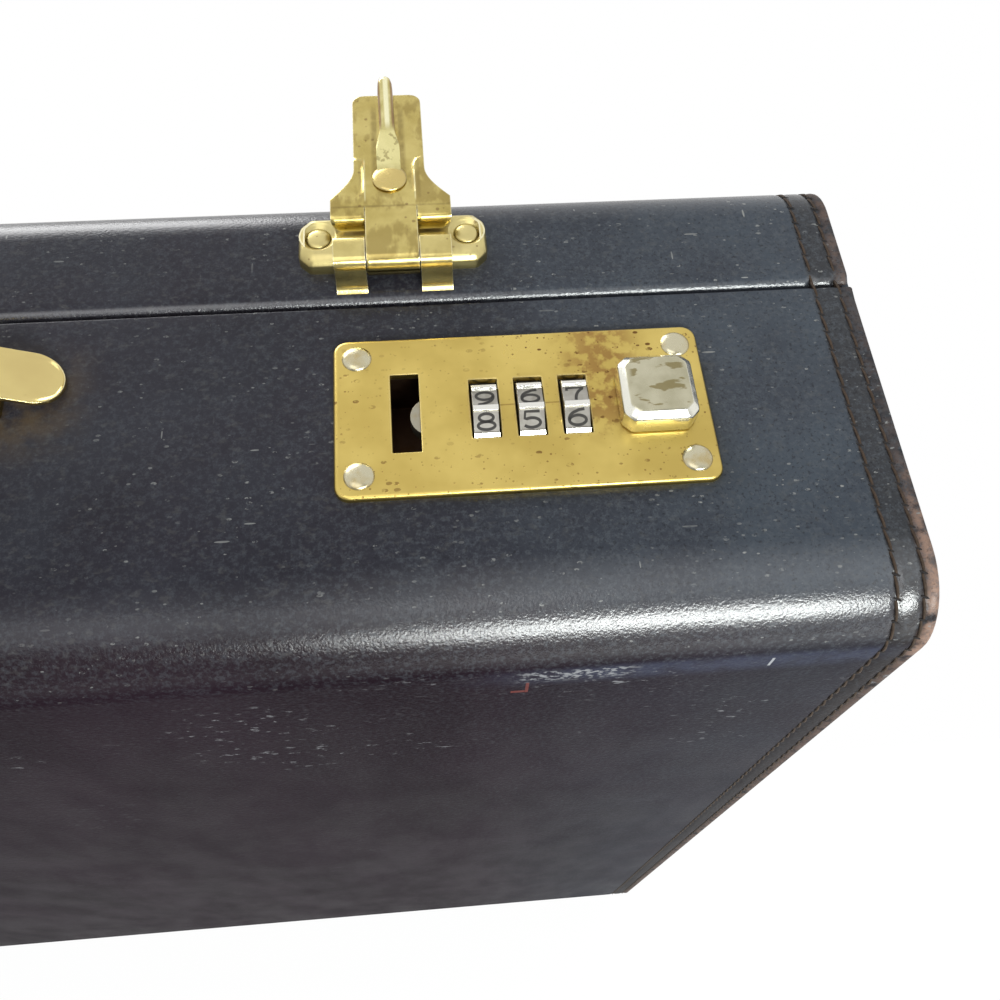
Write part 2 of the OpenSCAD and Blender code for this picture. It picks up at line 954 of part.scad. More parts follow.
// Sheet steel case under the plate, with two webs that carry the dial axle
module lock_case() {
  color(steel_colour)
    difference() {
      union() {
        difference() {
          translate([case_x0, case_y0, -case_depth])
            cube([case_x1 - case_x0, case_y1 - case_y0, case_depth]);
          translate([case_x0 + wall_t, case_y0 + wall_t, -case_depth + wall_t])
            cube([case_x1 - case_x0 - 2 * wall_t, case_y1 - case_y0 - 2 * wall_t, case_depth]);
        }
        for (x = web_x)
          translate([x, axle_y - web_w / 2, -case_depth + wall_t - eps])
            cube([wall_t, web_w, case_depth - 2 * wall_t]);
      }
      translate([web_x[0] - 1, axle_y, axle_z])
        rod_x(axle_r, web_x[1] - web_x[0] + 2 + wall_t);
    }
}

module dial_axles() {
  color(steel_colour)
    at_locks()
      translate([web_x[0], axle_y, axle_z])
        rod_x(axle_r, web_x[1] + wall_t - web_x[0]);
}

// Dial wheel: ten flats for the digits, a raised ridge between each two, a bore for the axle
module dial(i) {
  digits = 10;
  ridge_h = 0.45;
  ridge_root = 1.2;
  ridge_top = sqrt(pow(dial_d / 2, 2) - pow(ridge_w / 2, 2));
  flat_r = dial_d / 2 - ridge_h;
  color(nickel_colour)
    translate([window_x + i * window_pitch + (window_w - dial_w) / 2, axle_y, axle_z])
      rotate([0, 90, 0])
        rotate([0, 0, -dial_turn])
          difference() {
            union() {
              cylinder(r = flat_r, h = dial_w, $fn = digits);
              for (k = [0 : digits - 1])
                rotate([0, 0, 360 / digits * k])
                  translate([flat_r - ridge_root, -ridge_w / 2, 0])
                    cube([ridge_top - flat_r + ridge_root, ridge_w, dial_w]);
            }
            translate([0, 0, -1])
              cylinder(r = axle_r + running_gap, h = dial_w + 2);
          }
}

module release_button() {
  y0 = button_y - button_w / 2;
  color(nickel_colour)
    translate([button_x, y0, plate_t + button_lift]) {
      linear_extrude(button_h - button_lift - button_bevel)
        clipped_rect(button_l, button_w, button_clip);
      hull() {
        translate([0, 0, button_h - button_lift - button_bevel - eps])
          linear_extrude(eps)
            clipped_rect(button_l, button_w, button_clip);
        translate([button_bevel, button_bevel, button_h - button_lift - eps])
          linear_extrude(eps)
            clipped_rect(button_l - 2 * button_bevel, button_w - 2 * button_bevel, button_clip);
      }
    }
}

// Slide bar: the rounded bolt nose, a rail past the dials, and the stem up to the button
module slide_bar() {
  arm_x = nose_tip_x + nose_r + nose_back - arm_w;
  slot_mid_y = -plate_seam - slot_back - slot_l / 2;
  color(nickel_colour) {
    translate([nose_tip_x + nose_r, slot_mid_y, bar_top - nose_h])
      intersection() {
        cylinder(r = nose_r, h = nose_h);
        translate([-nose_r - 1, -nose_r - 1, -1])
          cube([nose_r + 1 + nose_back, 2 * nose_r + 2, nose_h + 2]);
      }
    translate([arm_x, rail_y, bar_top - bar_t]) {
      cube([arm_w, slot_mid_y + nose_r - rail_y, bar_t]);
      cube([stem_x + stem_l - arm_x, rail_w, bar_t]);
    }
    translate([stem_x, rail_y, bar_top - bar_t])
      cube([stem_l, button_y + stem_w / 2 - rail_y, bar_t]);
    translate([stem_x, button_y - stem_w / 2, bar_top - eps])
      cube([stem_l, stem_w, plate_t + button_lift - bar_top + eps]);
  }
}

// Spring that pulls the bar back, hooked between the case's inner end and the rail
module bolt_springs() {
  color(steel_colour)
    at_locks()
      translate([case_x0 + wall_t, rail_y + rail_w / 2, bar_top - bar_t / 2])
        rod_x(spring_r, nose_tip_x + nose_r + nose_back - arm_w - case_x0 - wall_t);
}

module lock_plate_rivets() {
  color(nickel_colour)
    at_locks()
      at_plate_rivets()
        translate([0, 0, plate_t])
          rivet(rivet_d, rivet_dome, plate_t + shank_depth);
}

// Hasp base: bevelled tray riveted to the lid, with two knuckle straps that reach the leather
module hasp_base() {
  color(brass_colour)
    difference() {
      union() {
        translate([hasp_x - tray_l / 2, tray_y, 0]) {
          linear_extrude(tray_h - tray_bevel)
            clipped_rect(tray_l, tray_w, tray_clip);
          hull() {
            translate([0, 0, tray_h - tray_bevel - eps])
              linear_extrude(eps)
                clipped_rect(tray_l, tray_w, tray_clip);
            translate([tray_bevel, tray_bevel, tray_h - eps])
              linear_extrude(eps)
                clipped_rect(tray_l - 2 * tray_bevel, tray_w - 2 * tray_bevel, 0.75 * tray_clip);
          }
        }
        for (s = sides)
          translate([
            hasp_x + s * (barrel_l / 2 + knuckle_gap + strap_w / 2) - strap_w / 2,
            hasp_pin_y,
            0
          ]) {
            translate([0, 0, hasp_pin_z])
              rod_x(barrel_r, strap_w);
            rotate([90, 0, 90])
              linear_extrude(strap_w)
                polygon([
                  [-barrel_r, hasp_pin_z],
                  [-barrel_r - strap_toe, 0],
                  [-barrel_r - strap_toe + strap_toe_t, 0],
                  [-strap_toe, hasp_pin_z - barrel_r + strap_toe]
                ]);
            cube([strap_w, strap_root, hasp_pin_z]);
          }
      }
      translate([hasp_x - barrel_l / 2 - knuckle_gap, hasp_pin_y, hasp_pin_z])
        rod_x(barrel_r + barrel_gap, barrel_l + 2 * knuckle_gap);
      translate([hasp_x - tray_l, hasp_pin_y, hasp_pin_z])
        rod_x(hasp_pin_r, 2 * tray_l);
      at_tray_rivets() {
        shank_hole(1);
        translate([0, 0, tray_h - rivet_sink])
          cylinder(r = tray_rivet_d / 2 + 0.4, h = 2 * rivet_sink);
      }
    }
}

module hasp_pins() {
  pin_l = barrel_l + 2 * strap_w + 2 * knuckle_gap;
  color(steel_colour)
    at_locks()
      translate([hasp_x - pin_l / 2, hasp_pin_y, hasp_pin_z])
        rod_x(hasp_pin_r, pin_l);
}

module hasp_base_rivets() {
  color(nickel_colour)
    at_locks()
      at_tray_rivets()
        translate([0, 0, tray_h - rivet_sink])
          rivet(tray_rivet_d, tray_rivet_dome, tray_h - rivet_sink + shank_depth);
}

// Half width of the hasp leaf at distance s from its pin
function leaf_half(s) =
  let (t = min(max((s - shoulder_end) / shoulder_run, 0), 1))
  tongue_w / 2 + (shoulder_w - tongue_w) / 2 * (1 - sin(90 * t));

// Hasp leaf, swung open: its barrel turns on the pin and its tongue lies back over the lid
module hasp_leaf() {
  steps = 10;
  clip = 0.8;
  color(brass_colour)
    translate([hasp_x, hasp_pin_y, hasp_pin_z])
      difference() {
        union() {
          translate([-barrel_l / 2, 0, 0])
            rod_x(barrel_r, barrel_l);
          translate([0, 0, barrel_r - leaf_t])
            linear_extrude(leaf_t) {
              translate([-barrel_l / 2, 0])
                square([barrel_l, shoulder_start + clip]);
              polygon(concat(
                [[-shoulder_w / 2 + clip, shoulder_start], [-shoulder_w / 2, shoulder_start + clip]],
                [for (i = [0 : steps])
                  [-leaf_half(shoulder_end + shoulder_run * i / steps),
                    shoulder_end + shoulder_run * i / steps]],
                [for (i = [steps : -1 : 0])
                  [leaf_half(shoulder_end + shoulder_run * i / steps),
                    shoulder_end + shoulder_run * i / steps]],
                [[shoulder_w / 2, shoulder_start + clip], [shoulder_w / 2 - clip, shoulder_start]]
              ));
              translate([-tongue_w / 2, shoulder_end + shoulder_run - eps])
                square([tongue_w, leaf_len - shoulder_end - shoulder_run - tip_corner]);
              translate([-tongue_w / 2 + tip_corner, leaf_len - 2 * tip_corner])
                square([tongue_w - 2 * tip_corner, 2 * tip_corner]);
              for (s = sides)
                translate([s * (tongue_w / 2 - tip_corner), leaf_len - tip_corner])
                  circle(tip_corner);
            }
        }
        translate([-barrel_l, 0, 0])
          rod_x(hasp_pin_r + running_gap, 2 * barrel_l);
      }
}

// Hook riveted to the leaf: a strip, and a prong that enters the plate's slot when closed
module hasp_hook() {
  run = prong_tip_s - slot_start_s;
  dome = 0.5;
  strip_short = 0.6;
  color(nickel_colour)
    translate([hasp_x, hasp_pin_y, hasp_pin_z + barrel_r]) {
      translate([0, hook_rivet_s, 0])
        cylinder(d = hook_rivet_d, h = hook_t);
      translate([0, hook_rivet_s, hook_t])
        rivet(hook_rivet_d, dome, hook_t);
      translate([-hook_w / 2, hook_rivet_s, 0])
        cube([hook_w, slot_start_s - hook_rivet_s - strip_short, hook_t]);
      translate([-prong_w / 2, 0, 0])
        rotate([90, 0, 90])
          linear_extrude(prong_w)
            polygon([
              [slot_start_s - 2.5, 0],
              [slot_start_s + run * 0.28, prong_rise * 0.19],
              [slot_start_s + run * 0.6, prong_rise * 0.5],
              [slot_start_s + run * 0.85, prong_rise * 0.73],
              [slot_start_s + run * 0.97, prong_rise * 0.8],
              [slot_start_s + run, prong_rise * 0.88],
              [slot_start_s + run * 0.98, prong_rise * 0.98],
              [slot_start_s + run * 0.9, prong_rise],
              [slot_start_s + run * 0.65, prong_rise * 0.88],
              [slot_start_s + run * 0.35, prong_rise * 0.55],
              [slot_start_s + run * 0.12, prong_rise * 0.24],
              [slot_start_s - 1.2, hook_t]
            ]);
    }
}

base_panel();
base_top_rail();
base_bottom_rail();
base_end_board(-1);  // base_end_board_left
base_end_board(1);  // base_end_board_right
base_wrap_leather();
base_end_leather(-1);  // base_end_leather_left
base_end_leather(1);  // base_end_leather_right
base_lining();
base_rim_lip();
lid_panel();
lid_top_rail();
lid_bottom_rail();
lid_end_board(-1);  // lid_end_board_left
lid_end_board(1);  // lid_end_board_right
lid_wrap_leather();
lid_end_leather(-1);  // lid_end_leather_left
lid_end_leather(1);  // lid_end_leather_right
lid_lining();
lid_pocket();
feet();
hinge_base_leaves();
hinge_lid_leaves();
hinge_pins();
hinge_rivets(-1);  // hinge_base_rivets
hinge_rivets(1);  // hinge_lid_rivets
handle_core();
handle_grip();
handle_end_fittings();
handle_mount_side(-1);  // handle_mount_left
handle_mount_side(1);  // handle_mount_right
handle_pivot_pins();
handle_mount_rivets();
at_lock(-1) lock_plate();  // lock_plate_left
at_lock(1) lock_plate();  // lock_plate_right
at_lock(-1) lock_case();  // lock_case_left
at_lock(1) lock_case();  // lock_case_right
at_lock(-1) dial(0);  // dial_1_left
at_lock(-1) dial(1);  // dial_2_left
at_lock(-1) dial(2);  // dial_3_left
at_lock(1) dial(0);  // dial_1_right
at_lock(1) dial(1);  // dial_2_right
at_lock(1) dial(2);  // dial_3_right
at_lock(-1) release_button();  // release_button_left
at_lock(1) release_button();  // release_button_right
at_lock(-1) slide_bar();  // slide_bar_left
at_lock(1) slide_bar();  // slide_bar_right
at_lock(-1) hasp_base();  // hasp_base_left
at_lock(1) hasp_base();  // hasp_base_right
at_lock(-1) hasp_leaf();  // hasp_leaf_left
at_lock(1) hasp_leaf();  // hasp_leaf_right
at_lock(-1) hasp_hook();  // hasp_hook_left
at_lock(1) hasp_hook();  // hasp_hook_right
lock_plate_rivets();
hasp_base_rivets();
hasp_pins();
dial_axles();
bolt_springs();
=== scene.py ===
import math

import bmesh
import bpy
from mathutils import Matrix, Vector
from mathutils.geometry import tessellate_polygon


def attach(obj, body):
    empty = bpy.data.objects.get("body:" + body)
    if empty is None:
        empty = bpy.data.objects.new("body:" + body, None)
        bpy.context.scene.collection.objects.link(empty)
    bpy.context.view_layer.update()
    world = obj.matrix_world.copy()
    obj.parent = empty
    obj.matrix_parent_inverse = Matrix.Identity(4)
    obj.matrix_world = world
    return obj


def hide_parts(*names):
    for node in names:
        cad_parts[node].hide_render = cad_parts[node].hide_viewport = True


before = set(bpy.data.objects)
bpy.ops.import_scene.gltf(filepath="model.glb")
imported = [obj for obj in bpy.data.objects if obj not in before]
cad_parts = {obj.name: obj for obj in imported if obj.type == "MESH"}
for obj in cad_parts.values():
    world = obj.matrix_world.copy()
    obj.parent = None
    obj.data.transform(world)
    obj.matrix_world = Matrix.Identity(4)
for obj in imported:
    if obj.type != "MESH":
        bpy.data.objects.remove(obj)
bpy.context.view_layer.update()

# Boards of the two shells
# Poplar boards, 4 mm thick, glued into two trays. Leather hides them outside and
# cloth inside, so only a thin edge could ever show.
mm = 0.001


def add_node(tree, kind, inputs=(), **settings):
    """Adds a node to a tree; each input is linked to an output or given a value."""
    made = tree.nodes.new(kind)
    for key, value in settings.items():
        setattr(made, key, value)
    for key, value in dict(inputs).items():
        feed(tree, made.inputs[key], value)
    return made


def feed(tree, socket, value):
    if isinstance(value, bpy.types.Node):
        value = value.outputs[0]
    if isinstance(value, bpy.types.NodeSocket):
        tree.links.new(value, socket)
    elif socket.type == "RGBA" and len(value) == 3:
        socket.default_value = (*value, 1.0)
    else:
        socket.default_value = value


class Finish:
    """A surface finish. A call that works something out gives back the node's output."""

    def __init__(self, name, colour, roughness, metallic=0.0):
        self.material = bpy.data.materials.new(name)
        self.material.use_nodes = True
        self.tree = self.material.node_tree
        self.shader = self.tree.nodes["Principled BSDF"]
        self.place = self.node("ShaderNodeTexCoord").outputs["Object"]
        self.colour = colour
        self.set("Base Color", colour)
        self.set("Roughness", roughness)
        self.set("Metallic", metallic)

    def node(self, kind, inputs=(), **settings):
        return add_node(self.tree, kind, inputs, **settings)

    def set(self, name, value):
        feed(self.tree, self.shader.inputs[name], value)

    def count(self, operation, first, second=0.0):
        return self.node("ShaderNodeMath", {0: first, 1: second}, operation=operation).outputs[0]

    def times(self, share, *others):
        for other in others:
            share = self.count("MULTIPLY", share, other)
        return share

    def most(self, share, *others):
        for other in others:
            share = self.count("MAXIMUM", share, other)
        return share

    def away(self, value, middle):
        """Distance of a value from a middle."""
        return self.count("ABSOLUTE", self.count("SUBTRACT", value, middle))

    def along(self, name, start=0.0):
        """Place along an axis, in mm from a start."""
        place = self.times(self.axis(name), 1000.0)
        return self.count("SUBTRACT", place, start) if start else place

    def out(self, start=0.0):
        """Place from the case's middle towards either end, in mm from a start."""
        place = self.times(self.count("ABSOLUTE", self.axis("X")), 1000.0)
        return self.count("SUBTRACT", place, start) if start else place

    def axis(self, name):
        return self.node("ShaderNodeSeparateXYZ", {0: self.place}).outputs[name]

    def stretched(self, scale, turn=(0.0, 0.0, 0.0)):
        """Places scaled and turned: a pattern made from them is long where scale is small."""
        inputs = {"Vector": self.place, "Scale": scale, "Rotation": turn}
        return self.node("ShaderNodeMapping", inputs).outputs[0]

    def cloud(self, grain, detail=3.0, place=None, roughness=0.55):
        """Noise whose features are about as wide as grain, in mm."""
        inputs = {"Vector": place or self.place, "Scale": 1000.0 / grain,
                  "Detail": detail, "Roughness": roughness}
        return self.node("ShaderNodeTexNoise", inputs).outputs[0]

    def cells(self, grain):
        """Rounded cells about as wide as grain, in mm."""
        return self.node("ShaderNodeTexVoronoi", {"Vector": self.place, "Scale": 1000.0 / grain},
                         feature="SMOOTH_F1").outputs["Distance"]

    def between(self, value, low, high, start=0.0, end=1.0):
        """A value that goes smoothly from start to end while another goes from low to high."""
        inputs = {"Value": value, "From Min": low, "From Max": high,
                  "To Min": start, "To Max": end}
        return self.node("ShaderNodeMapRange", inputs, interpolation_type="SMOOTHSTEP").outputs[0]

    def within(self, value, low, full, full_end, high):
        """Share that rises from low to full and fades from full_end to high."""
        return self.times(self.between(value, low, full), self.between(value, high, full_end))

    def blend(self, share, first, second):
        mix = self.node("ShaderNodeMix", data_type="RGBA")
        for place, value in ((0, share), (6, first), (7, second)):
            feed(self.tree, mix.inputs[place], value)
        return mix.outputs[2]

    def lay(self, colour, *shares):
        """Lays a colour over the ones before it, where all the shares say so."""
        self.colour = self.blend(self.times(*shares), self.colour, colour)
        self.set("Base Color", self.colour)

    def soft_edges(self, radius):
        """Normal with every edge rounded over a radius in mm."""
        return self.node("ShaderNodeBevel", {"Radius": radius * mm}, samples=4).outputs[0]

    def speckle(self, grain, size, share, place=None):
        """Round specks of up to size mm, one in a share of the cells of a grain-mm net."""
        voronoi = self.node("ShaderNodeTexVoronoi",
                            {"Vector": place or self.place, "Scale": 1000.0 / grain})
        pick = self.node("ShaderNodeSeparateColor", {0: voronoi.outputs["Color"]})
        chosen = self.between(pick.outputs[0], 1.0 - share, 1.0 - share + 0.01)
        reach = self.times(pick.outputs[1], size / grain)
        near = self.count("LESS_THAN", voronoi.outputs["Distance"], reach)
        return self.times(chosen, near)

    def edges(self, reach):
        """Share of the edges within reach mm that are painted bright: partly wear that the hand
        has rubbed bright, partly a painted highlight along every edge.
        """
        rounded = self.node("ShaderNodeBevel", {"Radius": reach * mm}, samples=8).outputs[0]
        plain = self.node("ShaderNodeNewGeometry").outputs["Normal"]
        same = self.node("ShaderNodeVectorMath", {0: rounded, 1: plain}, operation="DOT_PRODUCT")
        return self.between(same.outputs["Value"], 0.985, 0.86)

    def relief(self, height, depth, normal=None):
        """Bump of depth mm over the height's whole run."""
        inputs = {"Height": height, "Distance": depth * mm, "Strength": 1.0}
        if normal:
            inputs["Normal"] = normal
        return self.node("ShaderNodeBump", inputs).outputs[0]


def dress(material, slot, *nodes):
    """Gives solids of the CAD part a material; the slot is not used."""
    for name in nodes:
        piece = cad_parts[name]
        piece.data.materials.clear()
        piece.data.materials.append(material)


board = Finish("poplar_board", (0.36, 0.22, 0.12), 0.75)
rings = board.cloud(9.0, 4.0, board.stretched((0.06, 1.0, 1.0)))
board.lay((0.52, 0.36, 0.22), rings)
board.set("Normal", board.relief(board.cloud(0.7, 2.0, board.stretched((0.05, 1.0, 1.0))), 0.08))
dress(board.material, "board",
      "base_panel", "base_top_rail", "base_bottom_rail",
      "base_end_board_left", "base_end_board_right",
      "lid_panel", "lid_top_rail", "lid_bottom_rail",
      "lid_end_board_left", "lid_end_board_right")

# Leather wrapped round the base and the lid
# Black cowhide, polished and a little dusty, glued round the boards from end to end and
# turned in at the seam. Two rows of thread near each end sew it to the end leathers.
both_sides = ((-1, "left"), (1, "right"))
half_width = 228.5
seam_y = 9.7
lid_seam_y = 10.3
top_z = 343.6
foot_z = 6.0
leather_t = 1.2
turn_in = 5.2
stitch_rows = (2.4, 6.7)
# Depth of a sunk row, and how far down in it the thread is laid
groove_deep, groove_floor = 0.30, 0.24


def leather_finish(name, tint=(1.0, 1.0, 1.0), dust=1.0, worn=1.0):
    deep, faded = (tuple(c * t for c, t in zip(dye, tint))
                   for dye in ((0.0084, 0.0036, 0.0070), (0.0122, 0.0056, 0.0104)))
    skin = Finish(name, deep, 0.4)
    out = skin.out()
    back = skin.along("Y")
    high = skin.along("Z")
    tall = skin.stretched((1.0, 1.0, 0.4))
    skin.lay(faded, skin.between(skin.cloud(34.0, 3.0, tall), 0.34, 0.68))
    # Painted bluish sheen of light, with fine dust: a slate haze on what faces up, thicker towards
    # the ends, thinner on the front
    top = skin.between(high, top_z - 3.0, top_z - 0.5)
    dust_and_painted_sheen = skin.most(skin.times(top, skin.between(out, 135.0, 218.0, 0.3, 0.95)),
                     skin.between(out, 150.0, 222.0, 0.0, 0.26))
    skin.lay((0.054, 0.066, 0.083), dust_and_painted_sheen,
             skin.between(skin.cloud(18.0, 4.0), 0.25, 0.75, 0.7, 1.15))
    # Painted bluish reflection in a band where the front starts below its rounded edge
    painted_blue_reflection = skin.times(skin.within(high, 334.5, 332.5, 330.5, 325.5),
                       skin.between(back, -50.0, -52.5),
                       skin.between(out, 150.0, 185.0, 0.0, 0.5),
                       skin.between(skin.cloud(4.0, 4.0), 0.3, 0.6, 0.45, 1.0))
    skin.lay((0.055, 0.064, 0.106), painted_blue_reflection)
    # Rubbed tan at the case's outer corners
    rub = skin.between(out, half_width - 3.1, half_width - 1.1)
    corner = skin.between(back, -20.0, -43.0, 0.13, 1.0)
    corner = skin.times(corner, skin.between(high, 322.0, 334.0, 0.3, 1.0))
    corner = skin.most(corner, skin.between(back, 9.9, 10.1, 0.0, 0.32))
    rub = skin.times(rub, skin.between(skin.cloud(3.5, 5.0), 0.34, 0.55), corner)
    skin.lay((0.76, 0.49, 0.37), rub, 0.95 * worn)
    # The sewn end strips, cut from a browner hide
    strip = skin.between(out, half_width - 7.5, half_width - 7.0)
    skin.lay((0.03, 0.026, 0.024), strip, 0.62 * worn)
    # Fine mottling of the dyed grain, laid stronger on the top and towards the ends as a painted
    # sheen of light
    mottle = skin.between(skin.cloud(0.80, 4.0, None, 0.75), 0.44, 0.68)
    where = skin.times(skin.between(high, top_z - 16.0, top_z - 1.0, 0.25, 0.62),
                       skin.between(out, 100.0, 200.0, 0.45, 1.0))
    skin.lay((0.082, 0.092, 0.106), mottle, where)
    pits = skin.between(skin.cloud(0.62, 4.0, None, 0.7), 0.48, 0.30)
    skin.lay((0.01, 0.01, 0.012), pits, where)
    # Dust specks, and short fibres lying three ways
    ragged = skin.between(skin.cloud(0.45, 3.0), 0.42, 0.56)
    drawn = skin.stretched((0.5, 1.0, 1.0), (0.0, 0.0, 0.2))
    specks = skin.times(skin.speckle(2.1, 0.32, 0.4, drawn), ragged)
    fine = skin.times(skin.speckle(0.9, 0.25, 0.62, drawn), ragged)
    fibres = [skin.speckle(grain, size, share, skin.stretched(scale, (0.0, 0.0, turn)))
              for grain, size, share, scale, turn in ((2.6, 0.25, 0.46, (0.15, 1.0, 1.0), 0.45),
                                                      (2.7, 0.24, 0.38, (1.0, 0.16, 1.0), 0.30),
                                                      (1.8, 0.19, 0.34, (0.20, 1.0, 1.0), -0.5))]
    dusty = skin.most(specks, fine, *fibres)
    drift = skin.between(skin.cloud(11.0, 5.0), 0.36, 0.66, 0.08, 0.80 * dust)
    drift = skin.times(drift, skin.between(out, 90.0, 200.0, 0.75, 1.25),
                       skin.between(high, top_z - 14.0, top_z - 2.0, 0.07, 1.0))
    skin.lay((0.25, 0.255, 0.25), dusty, drift)
    # Worn flecks where the dye has gone dull
    dull = skin.cloud(1.0, 5.0, skin.stretched((0.7, 1.0, 1.0)))
    dull = skin.between(dull, 0.54, 0.70, 0.0, 0.24)
    skin.lay((0.095, 0.095, 0.092), dull, skin.between(high, top_z - 10.0, top_z - 1.0))
    # Painted warm reflection of the handle's brass mounts on the leather beside them
    painted_reflection = skin.times(skin.within(out, 58.0, 74.0, 90.0, 104.0), skin.between(back, -20.0, -8.0),
                       skin.between(back, 7.0, -4.0, 0.0, 0.55),
                       skin.between(skin.cloud(5.0, 4.0), 0.3, 0.62))
    skin.lay((0.115, 0.078, 0.036), painted_reflection)
    # Pale scuffs left on the front by handling, thickest just under the rounded edge
    scuff = skin.cloud(1.7, 6.0, skin.stretched((0.55, 1.0, 1.0)), 0.62)
    scuff = skin.between(scuff, 0.585, 0.655)
    where = skin.between(skin.cloud(20.0, 3.0), 0.50, 0.68, 0.0, 0.55)
    where = skin.times(where, skin.between(high, 262.0, 300.0, 0.18, 1.0))
    scuff = skin.times(scuff, where)
    upper = skin.times(skin.within(high, 333.4, 332.6, 330.5, 327.5),
                       skin.between(skin.away(out, 174.0), 11.0, 6.0))
    dense = skin.cloud(0.8, 4.0, skin.stretched((0.6, 1.0, 1.0)))
    dense = skin.between(dense, 0.50, 0.58, 0.0, 0.8)
    scuff = skin.most(scuff, skin.times(dense, upper))
    scuff = skin.times(scuff, skin.between(high, 335.0, 332.0))
    skin.lay((0.27, 0.275, 0.29), scuff)
    # Two nicks: one through to the pale core, and one of two strokes to the red ground
    # under the dye
    along = skin.along("X")
    for x, z, reach_x, reach_z, shade in ((204.5, 330.4, 0.22, 1.7, (0.55, 0.56, 0.58)),
                                          (166.6, 326.0, 0.26, 2.4, (0.20, 0.055, 0.045)),
                                          (165.2, 324.2, 1.1, 0.5, (0.20, 0.055, 0.045))):
        near = skin.count("LESS_THAN", skin.away(along, x), reach_x)
        nick = skin.count("LESS_THAN", skin.away(high, z), reach_z)
        nick = skin.times(near, nick, skin.count("LESS_THAN", back, -52.0))
        skin.lay(shade, nick, 0.55)
    skin.set("Roughness", skin.between(skin.cloud(12.0, 3.0, tall), 0.3, 0.75, 0.38, 0.46))
    # Slow waves of the board below, then grain and pores
    normal = skin.relief(skin.cloud(34.0, 1.0), 0.28)
    for height, depth in ((skin.cloud(3.5, 3.0), 0.035), (skin.cells(0.62), 0.034),
                          (skin.cloud(0.42, 3.0), 0.040)):
        normal = skin.relief(height, depth, normal)
    skin.set("Normal", normal)
    skin.set("Specular IOR Level", 0.022)
    skin.set("IOR", 1.32)
    # Wax polish, kept where nothing rubs: on the top and most of all on its rounded front edge
    edge = skin.times(skin.between(high, 333.6, 339.6), skin.between(back, -36.0, -45.0),
                      skin.between(out, 120.0, 180.0, 0.3, 1.0))
    edge = skin.most(edge, skin.between(back, 24.0, 33.0, 0.0, 0.8))
    lip = skin.within(back, 10.0, 10.3, 12.4, 13.2)
    edge = skin.most(edge, skin.times(lip, skin.between(high, top_z - 0.1, top_z - 0.5)))
    flat = skin.times(skin.between(high, top_z - 4.0, top_z - 1.0),
                      skin.between(back, -38.0, -12.0, 0.08, 0.17))
    edge = skin.most(edge, flat)
    skin.set("Coat Weight", skin.times(edge, skin.between(out, half_width - 2.2, half_width - 3.6,
                                                          0.15, 1.0)))
    skin.set("Coat Roughness", 0.235)
    skin.set("Coat IOR", 1.80)
    normal = skin.relief(skin.cloud(34.0, 1.0), 0.25)
    normal = skin.relief(skin.cloud(0.85, 3.0, None, 0.7), 0.045, normal)
    skin.set("Coat Normal", skin.relief(skin.cloud(0.42, 2.0), 0.055, normal))
    return skin.material


black_leather = leather_finish("black_leather")


def shell_outline(seam, closed, edge_r, lip_r, way):
    """Side line of a shell, seam to seam, as (y, z, normal y, normal z); way is +1 for the lid."""
    line = []
    low, high = foot_z, top_z
    tuck = seam + way * 0.06

    def arc(cy, cz, radius, start, stop, steps):
        for i in range(steps + 1):
            a = math.radians(start + (stop - start) * i / steps)
            line.append((cy + way * radius * math.cos(a), cz + radius * math.sin(a),
                         way * math.cos(a), math.sin(a)))

    def flat(points, ny, nz):
        for y, z in points:
            line.append((y, z, ny, nz))

    flat([(tuck, high - turn_in), (tuck, high - lip_r - 1.0)], -way, 0.0)
    arc(tuck + way * lip_r, high - lip_r, lip_r, 180.0, 90.0, 5)
    run = [seam + way * s for s in (3.0, 6.0, 11.8, 16.0, 22.0, 28.0, 34.2, 40.0, 46.0)]
    end = closed - way * edge_r
    flat([(y, high) for y in run if way * (end - y) > lip_r + 0.5], 0.0, 1.0)
    arc(end, high - edge_r, edge_r, 90.0, 0.0, 12)
    walls = [high - edge_r - (high - low - 2 * edge_r) * i / 12 for i in range(1, 12)]
    flat([(closed, z) for z in walls], way, 0.0)
    arc(end, low + edge_r, edge_r, 0.0, -90.0, 12)
    flat([(y, low) for y in reversed(run) if way * (end - y) > lip_r + 0.5], 0.0, -1.0)
    arc(tuck + way * lip_r, low + lip_r, lip_r, -90.0, -180.0, 5)
    flat([(tuck, low + lip_r + 1.0), (tuck, low + turn_in)], -way, 0.0)
    return line


def width_stations(extra):
    """Places across the case as (x, drop): the drop sinks the rows and rounds the ends."""
    groove_half, edge_r = 1.3, 0.7
    half = [(float(x), 0.0) for x in range(0, 214, 16)] + [(x, 0.0) for x in extra]
    for row in stitch_rows:
        for step in (-groove_half, -0.8, -0.4, 0.0, 0.4, 0.8, groove_half):
            slope = 0.5 * (1 + math.cos(math.pi * step / groove_half))
            half.append((half_width - row + step, groove_deep * slope))
    for i in range(5):
        a = math.radians(90 * i / 4)
        half.append((half_width - edge_r + edge_r * math.sin(a), edge_r * (1 - math.cos(a))))
    half = sorted(set(half))
    return [(-x, d) for x, d in reversed(half) if x > 0] + half


def new_piece(name, points, edges, faces):
    """An object from points in mm."""
    mesh = bpy.data.meshes.new(name)
    mesh.from_pydata([(x * mm, y * mm, z * mm) for x, y, z in points], edges, faces)
    piece = bpy.data.objects.new(name, mesh)
    bpy.context.scene.collection.objects.link(piece)
    return piece


def mesh_piece(name, points, faces, body, material, slot, smooth=True):
    """A piece from points in mm, riding on a body."""
    piece = new_piece(name, points, [], faces)
    piece.data.materials.append(material)
    for face in piece.data.polygons:
        face.use_smooth = smooth
    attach(piece, body)
    return piece


def net(rows, columns, start=0, closed=False):
    """Faces of a net of points; in a closed one the last column meets the first."""
    faces = []
    for i in range(rows - 1):
        for k in range(columns if closed else columns - 1):
            a, b = start + i * columns + k, start + i * columns + (k + 1) % columns
            faces.append((a, b, b + columns, a + columns))
    return faces


